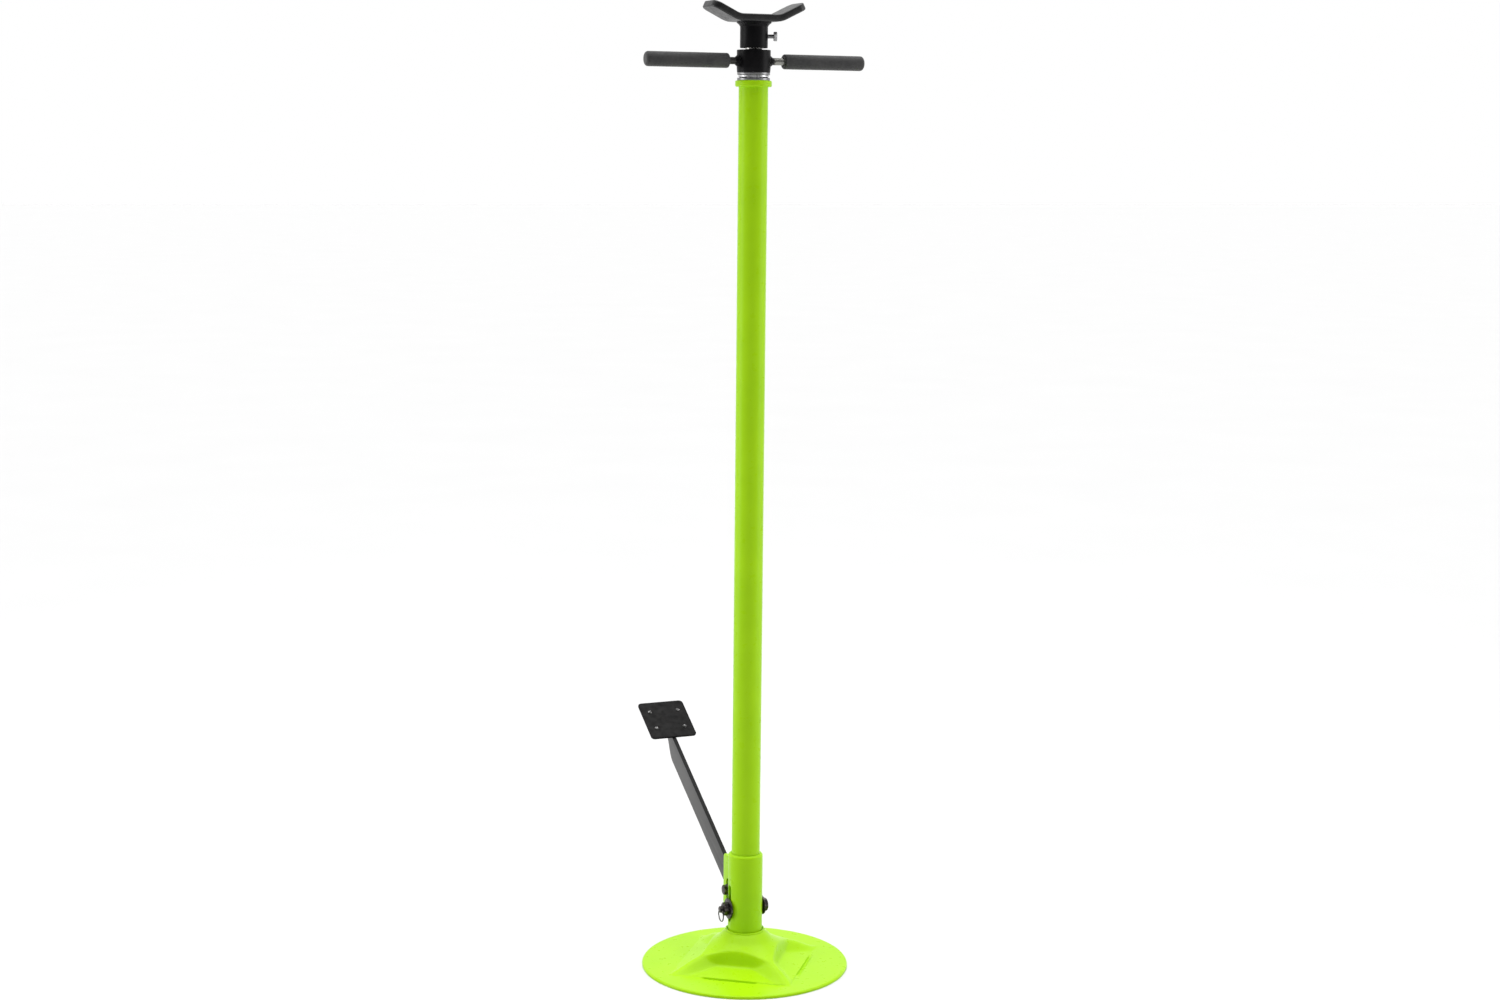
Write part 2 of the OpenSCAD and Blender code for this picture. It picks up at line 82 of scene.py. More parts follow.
# Base: heights of its upper face going out along a ridge and across a pocket, and a
# ridge's reach to each side
RIDGE_DIR = 8.7
RIDGE_LINE = ((0, 51.5), (29, 51.5), (32, 49.3), (35, 45.8), (40, 40.4), (46, 36.8), (52, 33.5),
              (60, 29.5), (90, 19), (112, 8.5), (121, 5.3), (127, 4.5), (200, 4.5))
POCKET_LINE = ((42.5, 60), (55.5, 14.5), (60, 12.2), (87, 5.3), (90, 4.5), (200, 4.5))
RIDGE_WIDTH = ((0, 30), (30, 27), (60, 24), (90, 20), (127, 12))
RIDGE_SOFT, POCKET_SOFT, WIDTH_SOFT, POCKET_ROUND = 1.6, 1.2, 5.0, 4
SHEET, RIM_HIGH, RIM_TURN, DRAIN_R = 3, 4.5, 2.5, 12
NECK_GAP, NECK_WALL = 1.2, 2.4
BASE_SIDES = 288
NECK_RING, SQUARE_RING, FLAT_RING = 30.2, 44, 95

# Creases in the pockets: steep on the inner side, gentle on the outer
CREASE_AT, CREASE_DEPTH, CREASE_IN, CREASE_OUT = 87.5, 2.4, 0.8, 6
CREASE_HALF, CREASE_FADE, CREASE_WEAK = 47, 14, 0.15
FAINT_CORNER, FAINT_RUN, FAINT_FADE, FAINT_SHARE = RIDGE_DIR + 90, 78, 6, 0.3

# Sleeve, column and bracket
SLOT_LOW, SLOT_W, LIFT = 66, 10.6, 30
WINDOW_LOW, WINDOW_HIGH, WINDOW_W = 68, 131, 10.5
COLUMN_WALL, COLUMN_WINDOW_HIGH, COLUMN_HOLE_R = 2.8, 118, 5.1
EAR_SLOT_W, EAR_SLOT_H, EAR_WELD_L, EAR_WELD_OUT = 8.5, 34, 13, 22.5

# Threads' crest radius, depth and pitch; heads across flats; clearance holes
M6, M8, M10 = (3, 0.55, 1.0), (4, 0.75, 1.25), (5, 0.92, 1.5)
M8_FLATS, M10_FLATS = 13, 17
M8_HOLE_R, M10_HOLE_R = 4.2, 5.3
NUT_EASE = 0.02
NEAR_WASHER_R, FAR_WASHER_R = 15, 14
RING_HOLE_R, RING_WIRE_R = 1.75, 0.45

# Foot lever, measured out from the fulcrum
LEVER_ANGLE, BAR_W = 30, 33
BUSH_BORE_R, NOSE_SLOT_R, NOSE_HALF = 7.02, 5.6, 12
PEDAL_START, PEDAL_L, PEDAL_T = 305, 80, 3
BAR_TIP, TAPER_START, TAPER_END, TIP_W = PEDAL_START + 66, PEDAL_START - 12, PEDAL_START + 26, 9.5
STUD_X, STUD_Y = 23.5, 18.5
PEDAL_WELD_L, PEDAL_WELD_R, PEDAL_WELD_OUT = 62, 2.6, 3.4

# Bearing, spin nut, screw and handles
BALLS, BALL_TRACK, BALL_R = 14, 17.5, 2.75
GROOVE_HALF, GROOVE_DEEP = 2.2, 0.9
RACE_BORE = 13
SCREW_R, SCREW_DEPTH, SCREW_PITCH = 12, 1.9, 5
SET_GROOVE_R, SET_GROOVE_HALF = 10.4, 3.5
ROD_R, GRIP_CAP = 5, 8

# Saddle and its set screw
SADDLE_T, SADDLE_CORNER, SADDLE_EDGE = 10, 11, 2.0
WING_ANGLE, BEND_START, BEND_R = 26, 24, 25
SET_DIR, SET_TIP, SET_SEAT, SET_HEAD_AF, SET_HEAD_H = 160, 10.9, 27, 12.5, 5

# Studio, with places in metres and turns from the camera's side
CAMERA_AT = Vector((1.2643, 3.0552, 1.1887))
CAMERA_PAN, CAMERA_PITCH, CAMERA_ROLL = radians(22.5), 0.1506, 0.0103
LENS, SENSOR = 56.4, 36
FLOOR = 40
BACK_LIGHT, FRONT_LIGHT, OVERHEAD_LIGHT, OVERHEAD_SPREAD = 0.95, 0.10, 2.9, 70
BOX_TURN, BOX_AWAY, BOX_UP, BOX_SIZE = 85, 1.9, 1.0, (0.9, 2.0)
LEFT_POWER, RIGHT_POWER = 16, 13
LIGHTS_AIM = (0, 0, 0.7)


# ---- places read from the frame ----

def box(node):
    """A CAD node's box at rest, in millimetres, with its middle as x, y and z."""
    low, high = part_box(node)
    b = SimpleNamespace(x0=low.x / MM, y0=low.y / MM, z0=low.z / MM,
                        x1=high.x / MM, y1=high.y / MM, z1=high.z / MM)
    b.x, b.y, b.z = (b.x0 + b.x1) / 2, (b.y0 + b.y1) / 2, (b.z0 + b.z1) / 2
    return b


def anchor(joint_name):
    """A joint's anchor in millimetres."""
    joint = next(j for j in frame["joints"] if j["name"] == joint_name)
    return [c / MM for c in joint["pos_m"]]


def bolt_z():
    """Height of the cross bolt, which carries the split ring."""
    return anchor("ring_swing")[2]


def rod_z():
    """Height of the handle rods."""
    return box("handle_rod_left").z


# ---- outlines ----

def rounded(corners, steps=6):
    """Points of a closed outline through corners (x, y, radius), each turned with an arc."""
    points = []
    for i, (x, y, radius) in enumerate(corners):
        here = Vector((x, y))
        before = (Vector(corners[i - 1][:2]) - here).normalized()
        after = (Vector(corners[(i + 1) % len(corners)][:2]) - here).normalized()
        half = before.angle(after) / 2
        if radius == 0 or half > radians(89.9):
            points.append((x, y))
            continue
        centre = here + (before + after).normalized() * (radius / sin(half))
        start = here + before * (radius / tan(half)) - centre
        end = here + after * (radius / tan(half)) - centre
        first = atan2(start.y, start.x)
        sweep = (atan2(end.y, end.x) - first + pi) % (2 * pi) - pi
        for k in range(steps + 1):
            a = first + sweep * k / steps
            points.append((centre.x + radius * cos(a), centre.y + radius * sin(a)))
    return points


def circle(x, y, radius, sides=48):
    """Points of a circle."""
    turns = [2 * pi * i / sides for i in range(sides)]
    return [(x + radius * cos(a), y + radius * sin(a)) for a in turns]


def slot(p, q, radius, steps=10):
    """Points of a slot with round ends round two points."""
    lean = atan2(q[1] - p[1], q[0] - p[0])
    points = []
    for centre, start in ((p, lean + pi / 2), (q, lean - pi / 2)):
        for k in range(steps + 1):
            a = start + pi * k / steps
            points.append((centre[0] + radius * cos(a), centre[1] + radius * sin(a)))
    return points


def circle_reach(radius, off):
    """How far out a circle reaches at a distance off its middle line."""
    return radius * cos(asin(off / radius))


# ---- meshes ----

def piece_from(name, vertices, faces, sharp=32):
    """A piece from vertices in millimetres, welded, and smooth up to the sharp angle."""
    mesh = bpy.data.meshes.new(name)
    mesh.from_pydata([tuple(c * MM for c in v) for v in vertices], [], faces)
    bm = bmesh.new()
    bm.from_mesh(mesh)
    bmesh.ops.remove_doubles(bm, verts=bm.verts, dist=SAME_PLACE * MM)
    bmesh.ops.dissolve_degenerate(bm, edges=bm.edges, dist=SAME_PLACE * MM)
    bmesh.ops.recalc_face_normals(bm, faces=bm.faces)
    bm.to_mesh(mesh)
    bm.free()
    shade(mesh, sharp)
    obj = bpy.data.objects.new(name, mesh)
    bpy.context.scene.collection.objects.link(obj)
    return obj


def shade(mesh, sharp=32):
    """Shades a mesh smooth, with its edges sharp past an angle."""
    mesh.shade_smooth()
    mesh.set_sharp_from_angle(angle=radians(sharp))


def grid_faces(rows, columns, closed_rows=False, shift=0):
    """Quads between rows of points that go round; shift joins the last column to later rows."""
    faces = []
    for j in range(rows if closed_rows else rows - 1):
        for i in range(columns):
            wrap = i == columns - 1
            low = j + (shift if wrap else 0)
            if not closed_rows and low + 1 >= rows:
                continue
            right = 0 if wrap else i + 1
            up = (j + 1) % rows
            faces.append((j * columns + i, (low % rows) * columns + right,
                          ((low + 1) % rows) * columns + right, up * columns + i))
    return faces


def turned(name, outline, sides=TURN_SIDES, sharp=32):
    """A solid turned about Z from a closed outline of (radius, height), or from a function
    that gives the outline at each angle."""
    at_angle = outline if callable(outline) else lambda a: outline
    columns = [at_angle(2 * pi * i / sides) for i in range(sides)]
    rows = len(columns[0])
    vertices = []
    for j in range(rows):
        for i, column in enumerate(columns):
            r, z = column[j]
            a = 2 * pi * i / sides
            vertices.append((r * cos(a), r * sin(a), z))
    return piece_from(name, vertices, grid_faces(rows, sides, closed_rows=True), sharp)


def hexagon(name, across, low, high, bore=0, boss=0):
    """A hexagon nut or bolt head along Z, its corners turned off at 30 degrees at both ends,
    with a raised washer face of the boss height on its low end."""
    flat_r = across / 2 * 0.96
    lead = 0.6 if bore else 0

    def outline(a):
        off = (degrees(a) + 30) % 60 - 30
        r = across / 2 / cos(radians(off))
        drop = (r - flat_r) * tan(radians(30))
        return [(bore, low + lead), (bore + lead, low), (flat_r - 0.2, low),
                (flat_r - 0.2, low + boss), (r - 0.15, low + boss + drop),
                (r, low + boss + drop + 0.2), (r, high - drop - 0.2), (r - 0.15, high - drop),
                (flat_r - 0.4, high), (bore + lead, high), (bore, high - lead)]

    return turned(name, outline, sides=72)


def threaded(name, low, high, start, stop, crest, depth, pitch, sides=40, limit=None):
    """A rod along Z with a right-hand thread between start and stop, chamfered at both ends.
    Past start and stop it is plain, at the crest's radius, and limit(z) can cut it deeper."""
    phases = ((0.0, 1), (0.3, 1), (0.5, 0), (0.8, 0))
    turns = int((high - low) / pitch) + 3
    root = crest - depth
    vertices = []
    rows = turns * len(phases)
    for j in range(rows):
        phase, in_root = phases[j % len(phases)]
        for i in range(sides):
            z = low + (j // len(phases) - 1 + phase + i / sides) * pitch
            z = min(max(z, low), high)
            run_in = min(max(min(z - start, stop - z) / pitch, 0), 1)
            r = min(crest - depth * in_root * run_in, root + z - low, root + high - z)
            r = r if limit is None else min(r, limit(z))
            a = 2 * pi * i / sides
            vertices.append((r * cos(a), r * sin(a), z))
    faces = grid_faces(rows, sides, shift=len(phases))
    ends = [(root * cos(2 * pi * i / sides), root * sin(2 * pi * i / sides)) for i in range(sides)]
    first = len(vertices)
    vertices += [(x, y, z) for z in (low, high) for x, y in ends]
    faces.append(tuple(reversed(range(first, first + sides))))
    faces.append(tuple(range(first + sides, first + 2 * sides)))
    return piece_from(name, vertices, faces, sharp=40)


def plate(name, outlines, thickness, edge, steps=3):
    """A plate in the XY plane, centred on it, with rounded edges; inner outlines are holes."""
    curve = bpy.data.curves.new(name, "CURVE")
    curve.dimensions = "2D"
    curve.fill_mode = "BOTH"
    curve.extrude = (thickness / 2 - edge) * MM
    curve.bevel_depth = edge * MM
    curve.bevel_resolution = steps
    curve.offset = -edge * MM
    for outline in outlines:
        spline = curve.splines.new("POLY")
        spline.points.add(len(outline) - 1)
        spline.use_cyclic_u = True
        for point, (x, y) in zip(spline.points, outline):
            point.co = (x * MM, y * MM, 0, 1)
    return from_curve(name, curve)


def wire(name, points, radius, sides=4):
    """A round wire of a radius through points."""
    curve = bpy.data.curves.new(name, "CURVE")
    curve.dimensions = "3D"
    curve.bevel_depth = radius * MM
    curve.bevel_resolution = sides
    curve.use_fill_caps = True
    spline = curve.splines.new("POLY")
    spline.points.add(len(points) - 1)
    for point, place in zip(spline.points, points):
        point.co = (*(c * MM for c in place), 1)
    return from_curve(name, curve)


def from_curve(name, curve):
    """The mesh piece of a curve, welded."""
    source = bpy.data.objects.new(name + "_curve", curve)
    mesh = bpy.data.meshes.new_from_object(source)
    bpy.data.objects.remove(source)
    bpy.data.curves.remove(curve)
    vertices = [tuple(c / MM for c in v.co) for v in mesh.vertices]
    faces = [tuple(p.vertices) for p in mesh.polygons]
    bpy.data.meshes.remove(mesh)
    return piece_from(name, vertices, faces)


def moved(obj, matrix):
    """The piece with its mesh moved by a matrix whose places are millimetres."""
    scaled = matrix.copy()
    scaled.translation = matrix.translation * MM
    obj.data.transform(scaled)
    return obj


def joined(name, *parts):
    """One piece made of several."""
    bm = bmesh.new()
    for part in parts:
        bm.from_mesh(part.data)
        discard(part)
    mesh = bpy.data.meshes.new(name)
    bm.to_mesh(mesh)
    bm.free()
    shade(mesh)
    obj = bpy.data.objects.new(name, mesh)
    bpy.context.scene.collection.objects.link(obj)
    return obj


def discard(obj):
    mesh = obj.data
    bpy.data.objects.remove(obj)
    bpy.data.meshes.remove(mesh)


def apply_modifiers(obj):
    """Bakes a piece's modifiers into its mesh."""
    graph = bpy.context.evaluated_depsgraph_get()
    mesh = bpy.data.meshes.new_from_object(obj.evaluated_get(graph))
    old = obj.data
    obj.modifiers.clear()
    obj.data = mesh
    bpy.data.meshes.remove(old)
    shade(mesh)
    return obj


def cut(obj, *cutters):
    """Cuts the cutters' solids out of a piece."""
    for cutter in cutters:
        difference = obj.modifiers.new("cut", "BOOLEAN")
        difference.operation = "DIFFERENCE"
        difference.solver = "EXACT"
        difference.object = cutter
    apply_modifiers(obj)
    for cutter in cutters:
        discard(cutter)
    return obj


def eased(obj, width, angle=50):
    """Rounds a piece's sharp edges."""
    bevel = obj.modifiers.new("edges", "BEVEL")
    bevel.width = width * MM
    bevel.segments = 2
    bevel.limit_method = "ANGLE"
    bevel.angle_limit = radians(angle)
    return apply_modifiers(obj)


def shift(x, y, z):
    return Matrix.Translation((x, y, z))


# Turns Z to lie along +X, and Z to lie along -X
ALONG_X = Matrix.Rotation(pi / 2, 4, "Y")
AGAINST_X = Matrix.Rotation(-pi / 2, 4, "Y")
# Stands a plate drawn in (distance out, height) across X
UPRIGHT = Matrix(((0, 0, -1, 0), (-1, 0, 0, 0), (0, 1, 0, 0), (0, 0, 0, 1)))


# ---- materials ----

class Finish:
    """A procedural material: one Principled shader, and nodes in the piece's own coordinates."""

    def __init__(self, name, **values):
        self.material = bpy.data.materials.new(name)
        self.material.use_nodes = True
        self.tree = self.material.node_tree
        self.shader = self.tree.nodes["Principled BSDF"]
        for socket, value in values.items():
            self.shader.inputs[socket.replace("_", " ")].default_value = value
        self.place = self.tree.nodes.new("ShaderNodeTexCoord").outputs["Object"]

    def node(self, kind, links=(), **settings):
        """A node, with its settings and its linked or plain inputs."""
        made = self.tree.nodes.new(kind)
        for key, value in settings.items():
            setattr(made, key, value)
        for socket, source in dict(links).items():
            if isinstance(source, bpy.types.NodeSocket):
                self.tree.links.new(source, made.inputs[socket])
            else:
                made.inputs[socket].default_value = source
        return made

    def noise(self, size, detail=2.0, stretch=(1, 1, 1), place=None):
        """Noise from 0 to 1 with features of a size in millimetres, stretched by axis."""
        mapped = self.node("ShaderNodeMapping", {
            "Vector": place or self.place, "Scale": tuple(1 / s for s in stretch)})
        made = self.node("ShaderNodeTexNoise", {
            "Vector": mapped.outputs["Vector"], "Scale": 1 / (size * MM), "Detail": detail})
        return made.outputs["Fac"]

    def about(self, axis, centre=(0, 0, 0)):
        """Coordinates (radius, 0, height) about a line through centre along axis X or Z."""
        moved_back = self.node("ShaderNodeVectorMath", {
            0: self.place, 1: tuple(-c * MM for c in centre)}, operation="ADD")
        parts = self.node("ShaderNodeSeparateXYZ", {0: moved_back.outputs["Vector"]}).outputs
        along, *across = (parts["X"], parts["Y"], parts["Z"]) if axis == "X" else (
            parts["Z"], parts["X"], parts["Y"])
        flat = self.node("ShaderNodeCombineXYZ", {"X": across[0], "Y": across[1]}).outputs[0]
        radius = self.node("ShaderNodeVectorMath", {0: flat}, operation="LENGTH").outputs["Value"]
        return self.node("ShaderNodeCombineXYZ", {"X": radius, "Z": along}).outputs[0]

    def ranged(self, source, low, high, start=0.3, stop=0.7):
        """A number mapped from start..stop to low..high."""
        return self.node("ShaderNodeMapRange", {
            "Value": source, "From Min": start, "From Max": stop,
            "To Min": low, "To Max": high}).outputs["Result"]

    def mixed(self, factor, first, second):
        """A colour between two colours."""
        made = self.node("ShaderNodeMix", {"Factor": factor}, data_type="RGBA")
        for socket, source in ((made.inputs[6], first), (made.inputs[7], second)):
            if isinstance(source, bpy.types.NodeSocket):
                self.tree.links.new(source, socket)
            else:
                socket.default_value = (*source, 1)
        return made.outputs[2]

    def set(self, socket, source):
        self.tree.links.new(source, self.shader.inputs[socket])

    def bump(self, *layers):
        """Adds bumps, each of (height from 0 to 1, depth in millimetres)."""
        normal = None
        for height, depth in layers:
            links = {"Height": height, "Distance": depth * MM, "Strength": 1.0}
            if normal is not None:
                links["Normal"] = normal
            normal = self.node("ShaderNodeBump", links).outputs["Normal"]
        self.set("Normal", normal)


def green_powder():
    """Glossy hi-vis powder coat: faint orange peel, and a tone that wanders a little."""
    f = Finish("green_powder", IOR=1.5, Specular_IOR_Level=0.12)
    wander = f.noise(70, 3)
    f.set("Base Color", f.mixed(f.ranged(wander, 0, 1), GREEN_DEEP, GREEN_LIGHT))
    peel = f.noise(1.6, 2)
    f.set("Roughness", f.ranged(f.noise(9, 4), 0.26, 0.36))
    f.bump((peel, 0.012), (f.noise(0.35, 1), 0.002))
    return f.material


def black_powder(name, gloss):
    """Satin black powder coat."""
    f = Finish(name, IOR=1.5, Specular_IOR_Level=gloss)
    f.set("Base Color", f.mixed(f.ranged(f.noise(25, 3), 0, 1), (0.002, 0.002, 0.0025),
                                (0.006, 0.0055, 0.006)))
    f.set("Roughness", f.ranged(f.noise(6, 4), 0.30, 0.42))
    f.bump((f.noise(1.3, 2), 0.015), (f.noise(0.3, 1), 0.003))
    return f.material


def bar_black():
    """Thin black paint over a flat bar, streaked on its faces; its edges are rough and coloured
    darker as painted shade.
    """
    f = Finish("bar_black", IOR=1.5, Specular_IOR_Level=0.4)
    streaks = f.noise(3, 4, stretch=(1, 14, 8))
    x = f.node("ShaderNodeSeparateXYZ", {0: f.place}).outputs["X"]
    from_middle = f.node("ShaderNodeMath", {0: x}, operation="ABSOLUTE").outputs[0]
    # 0 on the bar's edges, 1 on its faces: the edges' darker colour is painted shade
    face = f.ranged(from_middle, 0, 1, 2.95 * MM, 3.2 * MM)
    paint = f.mixed(f.ranged(streaks, 0, 1), (0.016, 0.016, 0.016), (0.030, 0.029, 0.028))
    f.set("Base Color", f.mixed(face, (0.002, 0.002, 0.002), paint))
    f.set("Roughness", f.ranged(face, 0.85, 0.36, 0, 1))
    f.bump((streaks, 0.02), (f.noise(0.9, 2), 0.010))
    return f.material


def pedal_black():
    """Black paint on pressed plate, mottled where it ran and scuffed."""
    f = Finish("pedal_black", IOR=1.5, Specular_IOR_Level=0.08)
    patches = f.noise(14, 5)
    f.set("Base Color", f.mixed(f.ranged(patches, 0, 1), (0.0015, 0.0015, 0.0015),
                                (0.006, 0.0055, 0.0055)))
    f.set("Roughness", f.ranged(f.noise(8, 5), 0.34, 0.62))
    f.bump((f.noise(13, 3), 0.7), (f.noise(1.5, 3), 0.03))
    return f.material


def stud_black():
    """Black paint worn through to steel in random patches on the pedal's studs."""
    f = Finish("stud_black", IOR=1.5)
    worn = f.ranged(f.noise(1.6, 3), 0, 1, 0.60, 0.68)
    f.set("Base Color", f.mixed(worn, (0.006, 0.006, 0.006), (0.85, 0.84, 0.82)))
    f.set("Metallic", worn)
    f.set("Roughness", f.ranged(f.noise(1.2, 2), 0.22, 0.40))
    f.bump((f.noise(0.8, 2), 0.02))
    return f.material


def foam_grip():
    """Closed-cell foam rubber: matt, with a fine skin of cells."""
    f = Finish("foam_grip", IOR=1.45, Sheen_Weight=0.15, Sheen_Roughness=0.5)
    f.set("Base Color", f.mixed(f.ranged(f.noise(18, 4), 0, 1), (0.018, 0.018, 0.019),
                                (0.030, 0.029, 0.029)))
    f.set("Roughness", f.ranged(f.noise(3, 3), 0.62, 0.80))
    cells = f.node("ShaderNodeTexVoronoi", {
        "Vector": f.place, "Scale": 1 / (0.7 * MM)}, feature="F1").outputs["Distance"]
    f.bump((cells, 0.05), (f.noise(6, 3), 0.08))
    return f.material


def turned_steel(name, light=0.30):
    """Bright steel with turning lines round the column's axis."""
    f = Finish(name, Metallic=1.0)
    lines = f.noise(0.5, 3, place=f.about("Z"))
    f.set("Base Color", f.mixed(f.ranged(f.noise(8, 4), 0, 1), (light * 0.86,) * 3,
                                (light, light, light * 1.02)))
    f.set("Roughness", f.ranged(lines, 0.24, 0.40))
    f.bump((lines, 0.006))
    return f.material


def polished_steel():
    """Bearing balls."""
    f = Finish("polished_steel", Metallic=1.0)
    f.set("Base Color", f.mixed(f.noise(3, 2), (0.40, 0.40, 0.41), (0.50, 0.50, 0.51)))
    f.set("Roughness", f.ranged(f.noise(1, 2), 0.06, 0.12))
    return f.material


def black_oxide():
    """Blackened fasteners: dark, slightly brown, rubbed brighter here and there."""
    f = Finish("black_oxide", Metallic=0.85)
    rubbed = f.ranged(f.noise(3.5, 5), 0, 1, 0.52, 0.75)
    f.set("Base Color", f.mixed(rubbed, (0.040, 0.035, 0.034), (0.20, 0.175, 0.16)))
    f.set("Roughness", f.ranged(f.noise(2, 3), 0.28, 0.46))
    f.bump((f.noise(0.8, 3), 0.012))
    return f.material


def rolled_thread(name, crest):
    """Rolled thread: lighter towards its crests and darker towards its roots, painted shade in the
    thread's hollows.
    """
    f = Finish(name, Metallic=1.0)
    about = f.about("Z")
    radius = f.node("ShaderNodeSeparateXYZ", {0: about}).outputs["X"]
    # colour darkens from crest to root: painted shade in the thread's hollows
    crown = f.ranged(radius, 0, 1, (crest - 1.6) * MM, crest * MM)
    f.set("Base Color", f.mixed(crown, (0.10, 0.092, 0.082), (0.52, 0.51, 0.49)))
    f.set("Roughness", f.ranged(f.noise(4, 4), 0.24, 0.42))
    f.bump((f.noise(0.6, 2, place=about), 0.008))
    return f.material


def rod_finish():
    """Zinc-plated handle rod, dark and not metallic where x lies above a ragged line near -25 mm:
    all of the left rod and the right rod next to the hub.
    """
    f = Finish("rod_finish")
    x = f.node("ShaderNodeSeparateXYZ", {0: f.place}).outputs["X"]
    ragged = f.node("ShaderNodeMath", {0: f.noise(4, 4), 1: 9 * MM}, operation="MULTIPLY")
    edge = f.node("ShaderNodeMath", {0: x, 1: ragged.outputs[0]}, operation="ADD").outputs[0]
    # dark and not metallic from a ragged line near x = -25 mm towards +X
    darkened = f.ranged(edge, 0, 1, -27 * MM, -25 * MM)
    lines = f.noise(0.6, 3, place=f.about("X", (0, 0, rod_z())))
    f.set("Base Color", f.mixed(darkened, (0.26, 0.26, 0.24), (0.016, 0.014, 0.013)))
    f.set("Metallic", f.ranged(darkened, 1, 0, 0, 1))
    f.set("Roughness", f.ranged(lines, 0.28, 0.42))
    f.bump((lines, 0.008))
    return f.material


def pale_floor():
    f = Finish("pale_floor", Roughness=0.9)
    f.set("Base Color", f.mixed(f.noise(400, 2), (0.61, 0.61, 0.61), (0.63, 0.63, 0.63)))
    return f.material


# ---- placing pieces ----

def stand_in(obj, node, material):
    """Puts a finished piece in place of its CAD node, on that node's body."""
    obj.data.materials.clear()
    obj.data.materials.append(material)
    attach(obj, frame["nodes"][node]["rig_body"])
    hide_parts(node)
    return obj


def dress(node, material):
    """Gives a CAD node that stays its material."""
    obj = frame["nodes"][node]
    obj.data.materials.clear()
    obj.data.materials.append(material)
    shade(obj.data)


# ---- base ----

def softened(line, spread):
    """A line of points turned into a function with its corners rounded over a spread."""
    step = 0.25
    x = np.arange(-40, 240, step)
    y = np.interp(x, *zip(*line))
    reach = np.arange(-4 * spread, 4 * spread + step, step)
    weight = np.exp(-(reach / spread) ** 2 / 2)
    soft = np.convolve(y, weight / weight.sum(), mode="same")
    return lambda at: np.interp(at, x, soft)


pocket_height = softened(POCKET_LINE, POCKET_SOFT)
ridge_height = softened(RIDGE_LINE, RIDGE_SOFT)
ridge_reach = softened(RIDGE_WIDTH, WIDTH_SOFT)


def smooth(t):
    """Eases from 0 to 1 as t goes from 0 to 1."""
    t = np.clip(t, 0, 1)
    return t * t * (3 - 2 * t)


def pressed_height(x, y):
    """Height of the base's upper face at a place in plan, without its creases."""
    r = np.hypot(x, y)
    off = np.radians(np.abs((np.degrees(np.arctan2(y, x)) - RIDGE_DIR + 45) % 90 - 45))
    ridge, pocket = ridge_height(r), pocket_height(r * np.cos(pi / 4 - off))
    lower = (ridge + pocket - np.hypot(ridge - pocket, POCKET_ROUND)) / 2
    side = 1 - smooth(r * np.sin(off) / ridge_reach(r))
    return np.maximum(RIM_HIGH, lower + (ridge - lower) * side)


def crease_strength(along, turn):
    """How deep a crease is along its side: sharp in two pockets, with a faint run to a corner."""
    strong = 1 - smooth((np.abs(along) - CREASE_HALF + CREASE_FADE) / CREASE_FADE)
    near_corner = np.cos(np.radians(turn - FAINT_CORNER))
    run = 1 - smooth((np.abs(along) - FAINT_RUN) / FAINT_FADE)
    faint = FAINT_SHARE * run * (near_corner > 0.6)
    return np.maximum(strong * np.where(near_corner > 0, 1, CREASE_WEAK), faint)


def base_rings():
    """Distances of the rings of points, close together at the pocket walls and creases."""
    crease = [CREASE_AT + d for d in (-1.2, -CREASE_IN, -0.4, 0, 0.8, 2.2, 3.6, 5, CREASE_OUT)]
    return np.concatenate([
        np.arange(NECK_RING, SQUARE_RING, 1.3), np.arange(44.5, 60, 0.8),
        np.arange(61, 85, 2.2), crease, np.arange(FLAT_RING, 100, 2), np.arange(101, 146, 3.2)])


